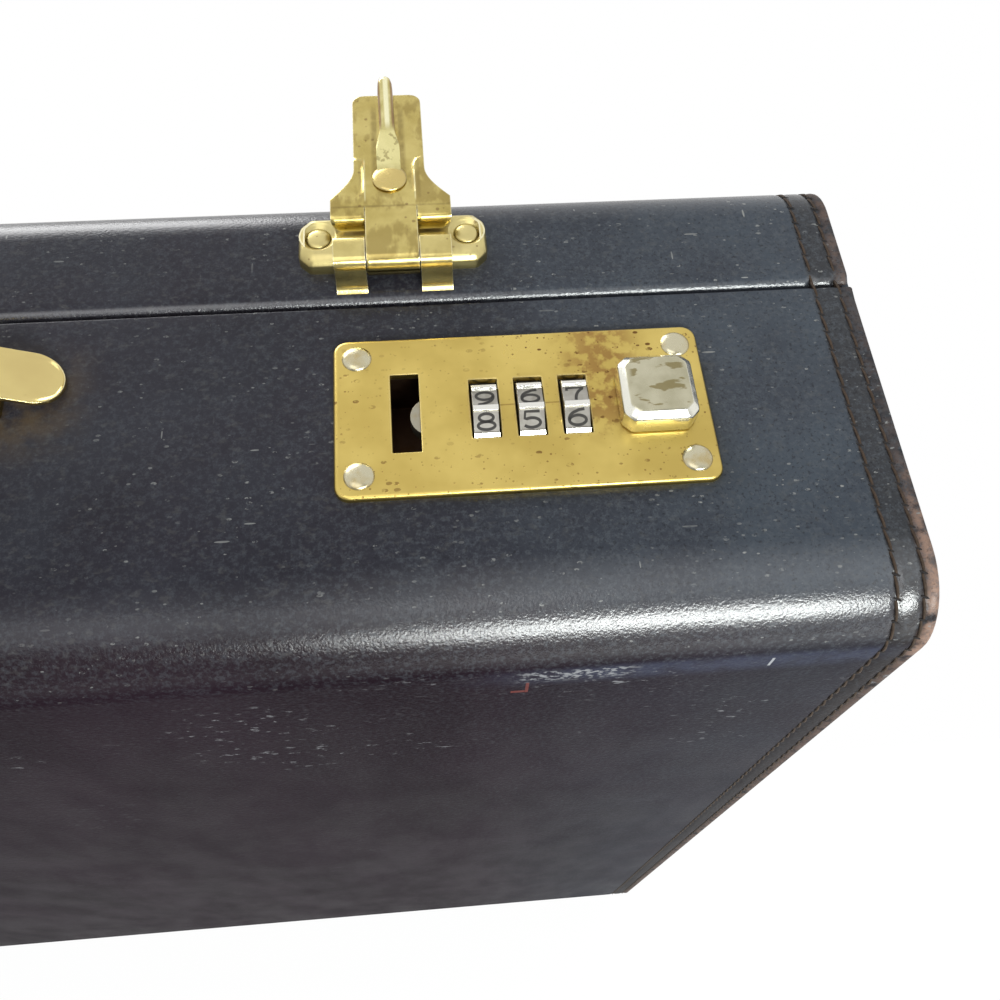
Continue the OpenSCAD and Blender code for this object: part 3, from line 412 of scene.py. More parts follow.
def thicken(piece, thickness):
    """Gives a surface its material's thickness, inwards."""
    solid = piece.modifiers.new("thickness", "SOLIDIFY")
    solid.thickness = thickness * mm
    solid.offset = -1.0


def wrap_leather(name, body, outline, way, hole=None):
    """Leather round one shell; hole is (x from, x to, y from, y to) under each lock plate."""
    stations = width_stations(hole[:2] if hole else (150.0, 190.0))
    lip = abs(outline[0][0] - outline[2][0]) + 1.0
    points = []
    for x, drop in stations:
        for y, z, ny, nz in outline:
            sunk = drop * (0.45 if abs(y - outline[0][0]) < lip else 1.0)
            points.append((x, y - ny * sunk, z - nz * sunk))
    faces = []
    for face in net(len(stations), len(outline)):
        x, y, z = (sum(points[i][axis] for i in face) / 4 for axis in range(3))
        if not (hole and hole[0] < abs(x) < hole[1] and hole[2] < y < hole[3] and z > top_z - 1):
            faces.append(face)
    piece = mesh_piece(name, points, faces, body, black_leather, "leather")
    if way > 0:
        piece.data.flip_normals()
    thicken(piece, leather_t)
    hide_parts(f"{body}_wrap_leather")


base_line = shell_outline(seam_y, -52.7, 12.0, 0.5, -1)
lid_line = shell_outline(lid_seam_y, 37.15, 10.0, 2.5, 1)
wrap_leather("leather_round_base", "base", base_line, -1, (144.6, 193.3, -24.5, -2.1))
wrap_leather("leather_round_lid", "lid", lid_line, 1)
end_leather = leather_finish("end_leather", (1.1, 1.1, 1.1), 0.7, 0.06)
dress(end_leather, "leather",
      "base_end_leather_left", "base_end_leather_right",
      "lid_end_leather_left", "lid_end_leather_right")

# Thread of the end seams
# Waxed brown linen thread, sewn by machine. Each stitch lies a little askew in the sunk
# row, between two awl slits that cross it.
thread = Finish("brown_thread", (0.016, 0.011, 0.008), 0.62)
strands = thread.cloud(0.30, 2.0, thread.stretched((1.0, 0.4, 0.4), (0.0, 0.6, 0.6)))
thread.lay((0.100, 0.070, 0.050), strands)
thread.set("Specular IOR Level", 0.15)
thread.set("Normal", thread.relief(strands, 0.06))
slit = Finish("awl_slit", (0.003, 0.002, 0.002), 0.8)
slit.lay((0.009, 0.005, 0.004), slit.cloud(0.8))


def ruled_piece(name, points, edges, tree, inputs, body):
    """A piece from points in mm that a node tree works on; its result is baked into the mesh."""
    piece = new_piece(name, points, edges, [])
    modifier = piece.modifiers.new("made by rule", "NODES")
    modifier.node_group = tree
    known = {item.name: item.identifier for item in tree.interface.items_tree
             if item.item_type == "SOCKET" and item.in_out == "INPUT"}
    for key, value in inputs.items():
        modifier[known[key]] = value
    piece.update_tag()
    ready = piece.evaluated_get(bpy.context.evaluated_depsgraph_get())
    baked = bpy.data.meshes.new_from_object(ready)
    piece.modifiers.remove(modifier)
    old = piece.data
    piece.data = baked
    bpy.data.meshes.remove(old)
    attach(piece, body)
    return piece


class Rule:
    """A node tree that makes a piece from points or lines and from named numbers."""

    def __init__(self, name, sockets):
        self.tree = bpy.data.node_groups.new(name, "GeometryNodeTree")
        new_socket = self.tree.interface.new_socket
        new_socket("Geometry", in_out="INPUT", socket_type="NodeSocketGeometry")
        for label, value in sockets.items():
            kind = "NodeSocketVector" if isinstance(value, tuple) else "NodeSocketFloat"
            new_socket(label, in_out="INPUT", socket_type=kind).default_value = value
        new_socket("Geometry", in_out="OUTPUT", socket_type="NodeSocketGeometry")
        self.given = self.tree.nodes.new("NodeGroupInput").outputs
        self.result = self.tree.nodes.new("NodeGroupOutput").inputs

    def add(self, kind, inputs=(), **settings):
        return add_node(self.tree, kind, inputs, **settings)

    def join(self, parts):
        both = self.add("GeometryNodeJoinGeometry")
        for part in parts:
            feed(self.tree, both.inputs[0], part)
        return both

    def finish(self, parts, material=None):
        """Ends the tree in one smooth mesh, with a material unless its parts have theirs."""
        real = self.add("GeometryNodeRealizeInstances", {"Geometry": self.join(parts)})
        real = self.add("GeometryNodeSetShadeSmooth", {"Geometry": real})
        if material:
            real = self.add("GeometryNodeSetMaterial", {"Geometry": real, "Material": material})
        feed(self.tree, self.result["Geometry"], real)
        return self.tree


def stitch_tree():
    """Stitches and awl slits along a line: local x runs along it and local y across the case."""
    rule = Rule("stitch row", {"Pitch": 0.0037, "Stitch": 0.0035, "Thread": 0.00025,
                               "Slant": 0.10, "Slit": 0.0012, "Across": (1.0, 0.0, 0.0)})
    add, given = rule.add, rule.given

    def times(first, second):
        return add("ShaderNodeMath", {0: first, 1: second}, operation="MULTIPLY")

    def point(**parts):
        return add("ShaderNodeCombineXYZ", parts)

    line = add("GeometryNodeMeshToCurve", {0: given["Geometry"]})
    spaced = add("GeometryNodeResampleCurve", {"Curve": line, "Length": given["Pitch"]},
                 mode="LENGTH")
    first = add("FunctionNodeAlignRotationToVector",
                {"Vector": add("GeometryNodeInputTangent")}, axis="X")
    turned = add("FunctionNodeAlignRotationToVector",
                 {"Rotation": first, "Vector": given["Across"]}, axis="Y", pivot_axis="X")
    half, sink = times(given["Stitch"], 0.5), times(given["Thread"], -0.9)
    arch = add("GeometryNodeCurveQuadraticBezier", {
        "Resolution": 6, "Start": point(X=times(half, -1.0), Z=sink),
        "Middle": point(Z=times(given["Thread"], 1.9)), "End": point(X=half, Z=sink)})
    ring = add("GeometryNodeCurvePrimitiveCircle", {"Resolution": 6, "Radius": given["Thread"]})
    rope = add("GeometryNodeCurveToMesh",
               {"Curve": arch, "Profile Curve": ring, "Fill Caps": True})
    stitch = add("GeometryNodeTransform",
                 {"Geometry": rope, "Rotation": point(Z=given["Slant"])})
    ball = add("GeometryNodeMeshIcoSphere", {"Radius": given["Slit"], "Subdivisions": 2})
    cut = add("GeometryNodeTransform", {
        "Geometry": ball, "Rotation": (0.0, 0.0, 1.15), "Scale": (0.62, 0.16, 0.10),
        "Translation": point(X=half)})
    parts = []
    for part, look in ((stitch, thread), (cut, slit)):
        made = add("GeometryNodeSetMaterial", {"Geometry": part, "Material": look.material})
        parts.append(add("GeometryNodeInstanceOnPoints",
                         {"Points": spaced, "Instance": made, "Rotation": turned}))
    return rule.finish(parts)


stitching = stitch_tree()


def seam_rows(name, body, outline, way):
    """Thread path of every row on one shell, sunk into its groove, then sewn."""
    points, edges = [], []
    path = [p for p in outline if abs(p[3]) > 0.01 or p[2] * way > 0.5]
    for side in (-1, 1):
        for k, row in enumerate(stitch_rows):
            skip = 2 if k else 1
            run = path[skip:-skip]
            run = run if way < 0 else list(reversed(run))
            first = len(points)
            points += [(side * (half_width - row), y - ny * groove_floor, z - nz * groove_floor)
                       for y, z, ny, nz in run]
            edges += [(first + i, first + i + 1) for i in range(len(run) - 1)]
    ruled_piece(name, points, edges, stitching, {}, body)


seam_rows("base_end_stitches", "base", base_line, -1)
seam_rows("lid_end_stitches", "lid", lid_line, 1)

# Lining of both shells, and the lip round the base's mouth
# Brown suede cloth glued to the boards, and a thin strip covered in the same cloth that
# stands up into the lid and lines it up.
lining = Finish("brown_suede_cloth", (0.085, 0.045, 0.028), 0.9)
nap = lining.cloud(14.0, 4.0)
lining.lay((0.135, 0.078, 0.050), lining.between(nap, 0.3, 0.7))
lining.set("Normal", lining.relief(lining.cloud(0.5, 2.0), 0.10, lining.relief(nap, 0.10)))
lining.set("Sheen Weight", 0.35)
lining.set("Sheen Roughness", 0.45)
dress(lining.material, "lining", "base_lining", "lid_lining", "base_rim_lip")

pocket_low = foot_z + 5.8 + 14.0
pocket_y = 31.35


def document_pocket():
    """The lid's pocket: a wide panel, fuller in the middle, with a rolled hem at its mouth."""
    points = []
    columns, rows = 60, 34
    half_wide, tall, cloth_t, fullness, deepest = 199.8, 209.6, 0.85, 0.65, 2.15
    for back in (0, 1):
        for j in range(rows + 1):
            v = j / rows
            for i in range(columns + 1):
                u = -1.0 + 2.0 * i / columns
                x = half_wide * math.copysign(1 - (1 - abs(u)) ** 1.15, u)
                z = pocket_low + 0.2 + tall * v
                full = (1 - u ** 8) * (1 - (1 - v) ** 7)
                ripple = 0.20 * math.sin(7.0 * u + 3.0 * v) * math.sin(5.0 * v + 1.3) * full
                hem = 0.45 * math.exp(-((v - 0.978) / 0.016) ** 2)
                rise = full * math.sin(math.pi * min(1.0, v + 0.12) / 2)
                out = min(cloth_t + (fullness + ripple * 0.8) * rise + hem, deepest)
                points.append((x, pocket_y - (0.0 if back else out), z))
    n = (columns + 1) * (rows + 1)
    faces = net(rows + 1, columns + 1)
    faces += [(a, d, c, b) for a, b, c, d in net(rows + 1, columns + 1, n)]
    rim = list(range(columns + 1))
    rim += [(j + 1) * (columns + 1) + columns for j in range(rows)]
    rim += [rows * (columns + 1) + i for i in range(columns - 1, -1, -1)]
    rim += [j * (columns + 1) for j in range(rows - 1, 0, -1)]
    for k, here in enumerate(rim):
        ahead = rim[(k + 1) % len(rim)]
        faces.append((ahead, here, n + here, n + ahead))
    return points, faces


def pocket_finish():
    cloth = Finish("pocket_cloth", (0.115, 0.064, 0.042), 0.85)
    x = cloth.out()
    z = cloth.along("Z")
    cloth.lay((0.155, 0.092, 0.06), cloth.between(cloth.cloud(14.0, 4.0), 0.3, 0.7))
    # The mouth is bound in dark leather, and a row of thread runs inside the other three edges
    bound = cloth.between(z, pocket_low + 200.2, pocket_low + 200.6)
    cloth.lay((0.028, 0.017, 0.012), bound)
    seam = cloth.most(cloth.between(x, 196.2, 196.5),
                      cloth.between(z, pocket_low + 3.8, pocket_low + 3.5))
    inside = cloth.times(cloth.between(x, 197.3, 197.0),
                         cloth.between(z, pocket_low + 2.7, pocket_low + 3.0))
    seam = cloth.times(seam, inside)
    dashes = cloth.times(cloth.count("ADD", x, z), 2.0)
    dashes = cloth.count("SINE", dashes)
    seam = cloth.times(seam, cloth.between(dashes, -0.6, -0.2))
    cloth.lay((0.03, 0.018, 0.012), seam, 0.85)
    cloth.set("Roughness", cloth.between(bound, 0.0, 1.0, 0.88, 0.5))
    cloth.set("Normal", cloth.relief(cloth.cloud(0.5, 2.0), 0.1, cloth.relief(seam, -0.4)))
    return cloth.material


pocket = mesh_piece("lid_document_pocket", *document_pocket(), "lid", pocket_finish(), "lining")
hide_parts("lid_pocket")

# Feet and hinges
# Four turned brass feet, and two brass hinges with steel pins, riveted under the seam.
def brass_finish(name, rough=0.30, marks=0.5, pale=0.0, uneven=0.0):
    brass = Finish(name, (0.60, 0.46, 0.135), rough, 1.0)
    tone = brass.cloud(9.0, 3.0)
    brass.lay((0.52, 0.38, 0.10), brass.between(tone, 0.3, 0.7))
    brass.lay((0.84, 0.74, 0.44), pale)
    brush = brass.cloud(0.5, 2.0, brass.stretched((0.05, 1.0, 1.0)))
    spots = brass.speckle(1.7, 0.38, 0.30)
    where = brass.between(brass.cloud(6.0, 3.0), 0.50, 0.66, 0.0, marks)
    brass.lay((0.12, 0.05, 0.018), spots, where)
    # Edges laid lighter: rubbed wear, and a painted highlight along every edge
    brass.lay((0.86, 0.78, 0.5), brass.edges(0.45), 0.7)
    brass.set("Roughness", brass.between(tone, 0.3, 0.7, rough - 0.05, rough + 0.08))
    edge = brass.soft_edges(0.35)
    if uneven:
        edge = brass.relief(brass.cloud(7.0, 2.0), uneven, edge)
    brass.set("Normal", brass.relief(brush, 0.004, edge))
    return brass.material


def nickel_finish(name, colour, rough):
    nickel = Finish(name, colour, rough, 1.0)
    tone = nickel.cloud(3.0, 3.0)
    warm = tuple(c * k for c, k in zip(colour, (0.86, 0.74, 0.52)))
    nickel.lay(warm, nickel.between(tone, 0.45, 0.75))
    nickel.set("Roughness",
               nickel.between(nickel.cloud(1.2), 0.3, 0.7, rough - 0.05, rough + 0.08))
    nickel.set("Normal", nickel.relief(nickel.cloud(0.6), 0.006, nickel.soft_edges(0.2)))
    return nickel.material


fitting_brass = brass_finish("fitting_brass")
rivet_nickel = nickel_finish("rivet_nickel", (0.56, 0.52, 0.37), 0.24)
pin_steel = nickel_finish("pin_steel", (0.42, 0.42, 0.43), 0.35)
dress(fitting_brass, "brass", "feet", "hinge_base_leaves", "hinge_lid_leaves")
dress(rivet_nickel, "nickel", "hinge_base_rivets", "hinge_lid_rivets")
dress(pin_steel, "steel", "hinge_pins")

# Handle
# A padded leather grip sewn over a steel bar, with brass end fittings that turn on pins in
# two cast brass mounts. It lies forward on the case when nobody carries it.
pivot_y, pivot_z = -3.3, 350.1
handle_lean = math.radians(5.0)
grip_away = 31.0
grip_end = 53.0


def on_handle(x, up, out):
    """A point of the handle at rest: up runs from pivot to grip, out stands off the case."""
    along = math.cos(handle_lean) * up - math.sin(handle_lean) * out
    rise = math.sin(handle_lean) * up + math.cos(handle_lean) * out
    return (x, pivot_y - along, pivot_z + rise)


def tube(rings):
    """A stack of rings as points and faces, closed at both ends."""
    n = len(rings[0])
    faces = net(len(rings), n, closed=True)
    faces += [tuple(range(n)), tuple((len(rings) - 1) * n + k for k in reversed(range(n)))]
    return [point for ring in rings for point in ring], faces


def grip_skin():
    """The grip's leather: round, fuller in the middle, with a sewn welt towards the pivot."""
    rings = []
    around, steps = 40, 44
    end_r, fuller, taper_from = 6.6, 1.75, 0.96
    for i in range(steps + 1):
        t = -1.0 + 2.0 * i / steps
        x = grip_end * t
        girth = end_r + fuller * math.cos(math.pi / 2 * t)
        if abs(t) > taper_from:
            girth -= 0.9 * ((abs(t) - taper_from) / (1 - taper_from)) ** 2
        ring = []
        for k in range(around):
            a = 2 * math.pi * k / around
            off = math.remainder(a - math.pi, 2 * math.pi)
            welt = 1.5 * math.exp(-(off / 0.17) ** 4)
            groove = 0.45 * math.exp(-((abs(off) - 0.36) / 0.09) ** 2)
            soft = 0.10 * math.sin(9.0 * t + 2.0 * a) + 0.07 * math.sin(23.0 * t - a)
            r = girth + welt - groove + soft
            ring.append(on_handle(x, grip_away + r * math.cos(a), r * math.sin(a)))
        rings.append(ring)
    return tube(rings)


def mend(piece, gap, upwards=False):
    """Joins points less than gap mm apart, and turns the faces outwards, or a sheet's upwards."""
    shape = bmesh.new()
    shape.from_mesh(piece.data)
    bmesh.ops.remove_doubles(shape, verts=shape.verts, dist=gap * mm)
    bmesh.ops.recalc_face_normals(shape, faces=shape.faces)
    if upwards and sum(face.normal.z for face in shape.faces if abs(face.normal.z) > 0.9) < 0:
        bmesh.ops.reverse_faces(shape, faces=shape.faces)
    shape.to_mesh(piece.data)
    shape.free()


def face_out(piece):
    """Turns the faces of a closed piece outwards and keeps its sharp edges sharp."""
    mend(piece, 0.002)
    piece.data.set_sharp_from_angle(angle=math.radians(38))
    for face in piece.data.polygons:
        if abs(face.normal.z) > 0.9999:
            face.use_smooth = False


grip_leather = leather_finish("grip_leather", (1.0, 0.95, 0.95), 0.5, 0.0)
grip = mesh_piece("handle_grip_leather", *grip_skin(), "handle", grip_leather, "leather")
face_out(grip)
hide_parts("handle_grip")

welt_line = [on_handle(-50.0 + 2.0 * i, grip_away - 9.62 - 0.45 * (1 - abs(i - 25) / 25), 0.0)
             for i in range(51)]
ruled_piece("grip_stitches", welt_line, [(i, i + 1) for i in range(50)], stitching,
            {"Pitch": 0.0042, "Stitch": 0.0034, "Thread": 0.0003, "Slit": 0.001,
             "Across": (0.0, 0.0, -1.0)}, "handle")
dress(pin_steel, "steel", "handle_core", "handle_pivot_pins")
dress(fitting_brass, "brass", "handle_end_fittings")


def rounded_ring(cx, cy, length, width, radius, z, steps=6):
    """Outline of a rounded rectangle at height z, anticlockwise from above."""
    ring = []
    for sx, sy, start in ((1, -1, -90), (1, 1, 0), (-1, 1, 90), (-1, -1, 180)):
        ox, oy = cx + sx * (length / 2 - radius), cy + sy * (width / 2 - radius)
        for i in range(steps + 1):
            a = math.radians(start + 90.0 * i / steps)
            ring.append((ox + radius * math.cos(a), oy + radius * math.sin(a), z))
    return ring


def pressed_sheet(outer, holes=()):
    """A sheet from rings, bottom to top: a stack for its outline and one for each hole."""
    points, faces, ends = [], [], []
    for rings in (outer, *holes):
        start, n = len(points), len(rings[0])
        for ring in rings:
            points.extend(ring)
        faces += net(len(rings), n, start, True)
        ends.append((start, start + (len(rings) - 1) * n, n))
    for level in (0, 1):
        loops = [[Vector(points[end[level] + i]) for i in range(end[2])] for end in ends]
        order = [end[level] + i for end in ends for i in range(end[2])]
        faces += [tuple(order[i] for i in corner) for corner in tessellate_polygon(loops)]
    return points, faces


def mount_casting():
    """Cast mount of the right side: a boss for the pin that runs out into a round-ended leaf."""
    face_x, slope_x, leaf_x, round_x = 66.9, 71.9, 77.5, 92.2
    boss_half, boss_top, leaf_half, leaf_top = 5.0, 11.5, 4.7, 1.55
    rings = []
    stations = [face_x + (round_x - face_x) * i / 44 for i in range(45)]
    stations += [round_x + leaf_half * math.sin(math.pi / 2 * i / 12) for i in range(1, 13)]
    for i, x in enumerate(stations):
        t = max(0.0, min(1.0, (x - slope_x) / 25.0))
        top = leaf_top + (boss_top - leaf_top) * (1 - t) ** 1.08
        leaf = max(0.0, min(1.0, (x - leaf_x) / 5.5))
        leaf = leaf * leaf * (3 - 2 * leaf)
        half = boss_half - (boss_half - leaf_half) * leaf
        if x > round_x:
            half = math.sqrt(max(0.0, leaf_half ** 2 - (x - round_x) ** 2)) + 0.02
        if i == 0:
            half -= 0.5
            top -= 0.5
        shoulder = top - (1 - leaf) * half
        ring = []
        for k in range(17):
            a = math.pi * k / 16
            across = -math.cos(a)
            bulge = math.sin(a) * (1 - leaf) * half
            rim = 0.38 * (1 - math.exp(-((1 - abs(across)) / 0.10) ** 2))
            hollow = (rim + 0.55 * (1 - across ** 2)) * leaf * min(1.0, half / 3.0)
            edge = 0.30 * leaf * max(0.0, abs(across) - 0.94) / 0.06
            ring.append((x, across * half - 0.5 * t, shoulder + bulge - hollow - edge))
        low = leaf * (top - 1.25)
        for k in range(17):
            across = 1.0 - 2.0 * k / 16
            ring.append((x, across * half - 0.5 * t,
                         low + 0.25 * leaf * max(0.0, abs(across) - 0.8) / 0.2))
        rings.append(ring)
    points, faces = tube(rings)
    flange = pressed_sheet(
        [rounded_ring(77.15, 0.0, 20.5 - 2 * inset, 14.4 - 2 * inset, 2.0 - inset, z)
         for inset, z in ((0.0, 0.0), (0.0, 0.8), (0.12, 1.08), (0.4, 1.2))])
    shift = len(points)
    points += flange[0]
    faces += [tuple(i + shift for i in face) for face in flange[1]]
    return points, faces


cast_brass = brass_finish("cast_brass", 0.16, 0.25, 0.30, 0.42)
for side, name in both_sides:
    points, faces = mount_casting()
    placed = [(side * x, pivot_y + y, top_z + z) for x, y, z in points]
    mount = mesh_piece(f"handle_mount_cast_{name}", placed, faces, "base", cast_brass, "brass")
    face_out(mount)
    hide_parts(f"handle_mount_{name}")


def rivet_tree():
    """Low domed rivet heads, one on each point, with a thin collar."""
    rule = Rule("rivet heads", {"Radius": 0.0027, "Dome": 0.0009})
    add, given = rule.add, rule.given
    ball = add("GeometryNodeMeshUVSphere",
               {"Segments": 28, "Rings": 14, "Radius": given["Radius"]})
    squash = add("ShaderNodeMath", {0: given["Dome"], 1: given["Radius"]}, operation="DIVIDE")
    flat = add("ShaderNodeCombineXYZ", {"X": 1.0, "Y": 1.0, "Z": squash})
    dome = add("GeometryNodeTransform", {"Geometry": ball, "Scale": flat})
    collar = add("GeometryNodeMeshCylinder",
                 {"Vertices": 28, "Radius": given["Radius"], "Depth": 0.0002})
    return rule.finish([add("GeometryNodeInstanceOnPoints",
                            {"Points": given["Geometry"], "Instance": rule.join([dome, collar])})],
                       rivet_nickel)


rivet_heads = rivet_tree()


def rivets(name, places, body, radius, dome, metal=rivet_nickel):
    """Rivet heads at places in mm, with their radius and height."""
    piece = ruled_piece(name, places, [], rivet_heads, {"Radius": radius * mm, "Dome": dome * mm},
                        body)
    piece.data.materials.clear()
    piece.data.materials.append(metal)
    for face in piece.data.polygons:
        face.material_index = 0
    return piece


mount_rivet_x, mount_rivet_y = 83.9, 4.6
mount_heads = rivets("mount_rivet_heads",
                     [(s * mount_rivet_x, pivot_y + t * mount_rivet_y, top_z + 1.15)
                      for s in (-1, 1) for t in (-1, 1)], "base", 2.0, 0.7)
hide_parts("handle_mount_rivets")

# Lock plates, and the cases under them
# Pressed brass plates with a rolled rim, a slot for the hasp's hook and a window for each
# dial, held by four nickelled rivets. A sheet steel case hangs under each.
plate_x, plate_y = 138.8, seam_y
dial_pitch = 7.2


def on_lock(side, points):
    """Places points given from the plate's inner edge, the seam and the leather."""
    return [(side * (plate_x + x), plate_y + y, top_z + z) for x, y, z in points]


def lock_piece(name, side, shape, body, material, slot, node=None):
    """A closed piece of one lock or hasp, from points given as for on_lock."""
    points, faces = shape
    piece = mesh_piece(name, on_lock(side, points), faces, body, material, slot)
    face_out(piece)
    if node:
        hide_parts(node)
    return piece


def lock_plate():
    long, wide, corner, thick, rolled = 60.0, 29.5, 2.4, 1.2, 0.75
    rim = [(0.0, 0.0), (0.0, thick - rolled)]
    rim += [(rolled * (1 - math.cos(a)), thick - rolled + rolled * math.sin(a))
            for a in (math.radians(90 * i / 6) for i in range(1, 7))]
    outer = [rounded_ring(long / 2, -22.6, long - 2 * inset, wide - 2 * inset, corner - inset, z)
             for inset, z in rim]

    def opening(x0, x1, y0, y1):
        steps = ((0.0, 0.0), (0.0, 1.02), (0.05, 1.14), (0.16, thick))
        return [rounded_ring((x0 + x1) / 2, (y0 + y1) / 2, x1 - x0 + 2 * grow, y1 - y0 + 2 * grow,
                             0.12 + grow, z, 2) for grow, z in steps]

    # One for the hook, one for the button's stem and one for each dial
    holes = [opening(9.1, 13.6, -29.65, -15.2), opening(46.3, 52.7, -24.3, -20.5)]
    holes += [opening(21.6 + dial_pitch * i, 26.15 + dial_pitch * i, -27.8, -16.8)
              for i in range(3)]
    return pressed_sheet(outer, holes)


def plate_finish():
    brass = Finish("lock_plate_brass", (0.66, 0.505, 0.150), 0.30, 1.0)
    x = brass.out(plate_x)
    y = brass.along("Y", plate_y)
    tone = brass.cloud(11.0, 3.0)
    brass.lay((0.52, 0.385, 0.105), brass.between(tone, 0.32, 0.68))
    # Brown tarnish beside the button and towards the back edge
    beside = brass.times(brass.within(x, 34.0, 42.5, 45.5, 52.0), brass.between(y, -31.0, -23.0))
    mottled = brass.between(brass.cloud(2.0, 5.0), 0.42, 0.58)
    tarnish = brass.times(beside, mottled)
    brass.lay((0.24, 0.115, 0.04), tarnish, 0.68)
    # Pits: dense at the back between the windows and the button, and along the front
    back = brass.times(brass.between(x, 20.0, 34.0), brass.between(y, -17.0, -11.5))
    front = brass.between(y, -28.5, -32.5)
    dense = brass.most(back, beside, brass.times(front, 0.62),
                       brass.between(brass.cloud(7.0, 2.0), 0.46, 0.66, 0.22, 0.8))
    pits = brass.speckle(1.25, 0.42, 0.55, brass.stretched((0.62, 1.0, 1.0)))
    small = brass.speckle(0.62, 0.20, 0.40)
    marks = brass.most(pits, small)
    ragged = brass.between(brass.cloud(0.7, 3.0), 0.36, 0.50)
    marks = brass.times(marks, ragged, dense)
    brass.lay((0.13, 0.055, 0.018), marks, 0.9)
    # Fine index line engraved between the windows
    line = brass.count("COMPARE", y, -21.9)
    line.node.inputs[2].default_value = 0.11
    between = brass.within(x, 26.0, 26.05, 36.05, 36.1)
    line = brass.times(line, between)
    brass.lay((0.25, 0.15, 0.04), line, 0.6)
    # Edges laid lighter: rubbed wear, and a painted highlight along every edge
    brass.lay((0.88, 0.8, 0.5), brass.edges(0.5), 0.75)
    rough = brass.between(tone, 0.3, 0.7, 0.27, 0.37)
    brass.set("Roughness", brass.count("ADD", rough, brass.times(tarnish, 0.2)))
    scratches = brass.cloud(0.45, 2.0, brass.stretched((0.06, 1.0, 1.0), (0.0, 0.0, 0.35)))
    normal = brass.relief(brass.cloud(16.0, 2.0), 0.06)
    normal = brass.relief(scratches, 0.004, normal)
    normal = brass.relief(brass.times(marks, -1.0), 0.012, normal)
    normal = brass.relief(brass.times(line, -1.0), 0.04, normal)
    brass.set("Normal", normal)
    return brass.material


plate_brass = plate_finish()
case_steel = nickel_finish("case_steel", (0.085, 0.050, 0.032), 0.55)
dress(case_steel, "steel", "lock_case_left", "lock_case_right", "dial_axles", "bolt_springs")
for side, name in both_sides:
    lock_piece(f"lock_plate_brass_{name}", side, lock_plate(), "base", plate_brass, "brass",
               f"lock_plate_{name}")
corners = [(x, y, 1.15) for x in (3.85, 56.15) for y in (-11.7, -33.5)]
plate_heads = rivets("plate_rivet_heads", on_lock(1, corners) + on_lock(-1, corners),
                     "base", 2.4, 0.85)
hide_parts("lock_plate_rivets")

# Dials
# Nickelled wheels with ten flats and a ridge between each two. A number is engraved on
# each flat and filled with black paint.
axle_y, axle_z = -22.3, -3.8
flat_r = 6.42
wheel = Finish("wheel_nickel", (0.40, 0.385, 0.345), 0.27, 1.0)
aside, above = wheel.along("Y", plate_y + axle_y), wheel.along("Z", top_z + axle_z)
away = wheel.count("ADD", wheel.times(aside, aside), wheel.times(above, above))
away = wheel.count("SQRT", away)
ridge = wheel.between(away, 6.62, 6.92)
wheel.lay((0.30, 0.285, 0.25), wheel.between(wheel.cloud(2.2, 3.0), 0.35, 0.65))
# Painted highlight: the ridges between the flats are laid bright
wheel.lay((0.78, 0.77, 0.72), ridge)
wheel.set("Roughness", wheel.between(away, 6.6, 6.9, 0.34, 0.20))
wheel.set("Normal", wheel.relief(wheel.cloud(0.6), 0.008, wheel.soft_edges(0.2)))
dress(wheel.material, "nickel",
      *[f"dial_{k}_{name}" for k in (1, 2, 3) for name in ("left", "right")])
paint = Finish("black_engraving", (0.006, 0.006, 0.006), 0.5)
paint.lay((0.035, 0.030, 0.024), paint.cloud(0.5))


def bow(cx, cy, rx, ry, start, stop, steps=12):
    """Points on an arc, in shares of a number's width and height."""
    turns = [math.radians(start + (stop - start) * i / steps) for i in range(steps + 1)]
    return [(cx + rx * math.cos(a), cy + ry * math.sin(a)) for a in turns]


six = [[(0.40, 0.50), (0.10, 0.46)] + bow(0.12, -0.10, 0.60, 0.50, 112, 180, 6)
       + bow(0.0, -0.19, 0.48, 0.31, 180, 540, 20)]
strokes = {
    0: [bow(0.0, 0.0, 0.46, 0.50, 90, 450, 24)],
    1: [[(-0.22, 0.30), (0.04, 0.50), (0.04, -0.50)]],
    2: [bow(0.0, 0.20, 0.44, 0.30, 165, -35, 12) + [(-0.46, -0.50), (0.48, -0.50)]],
    3: [bow(-0.02, 0.25, 0.42, 0.25, 150, -90, 10) + bow(-0.02, -0.25, 0.48, 0.25, 90, -150, 10)],
    4: [[(0.22, -0.50), (0.22, 0.50), (-0.48, -0.18), (0.50, -0.18)]],
    5: [[(0.44, 0.50), (-0.38, 0.50), (-0.42, 0.08)]
        + bow(-0.02, -0.20, 0.48, 0.30, 125, -150, 16)],
    6: six,
    7: [[(-0.46, 0.30), (-0.46, 0.50), (0.46, 0.50)] + bow(0.62, -0.50, 0.62, 0.95, 108, 180, 8)],
    8: [bow(0.0, 0.25, 0.40, 0.25, -90, 270, 18), bow(0.0, -0.25, 0.48, 0.25, 90, 450, 18)],
    9: [[(-x, -y) for x, y in line] for line in six],
}


def engraved_number(digit, width, height, stroke):
    """Stroke strips of one number as (across, up, depth) points and faces."""
    points, faces = [], []
    for line in strokes[digit]:
        path = [Vector((x * width, y * height)) for x, y in line]
        start = len(points)
        for i, here in enumerate(path):
            ahead = path[min(i + 1, len(path) - 1)] - here
            behind = here - path[max(i - 1, 0)]
            if (path[0] - path[-1]).length < 1e-6 and i in (0, len(path) - 1):
                ahead, behind = path[1] - path[0], path[-1] - path[-2]
            way = (ahead.normalized() + behind.normalized()).normalized()
            side = Vector((-way.y, way.x)) * stroke / 2
            for shift in (side, -side):
                for depth in (0.03, -0.12):
                    points.append((here.x + shift.x, here.y + shift.y, depth))
        for i in range(len(path) - 1):
            a = start + 4 * i
            b = a + 4
            faces += [(a, b, b + 2, a + 2), (a + 1, a + 3, b + 3, b + 1),
                      (a, a + 1, b + 1, b), (a + 2, b + 2, b + 3, a + 3)]
        last = start + 4 * (len(path) - 1)
        faces += [(start, start + 2, start + 3, start + 1), (last, last + 1, last + 3, last + 2)]
    return points, faces


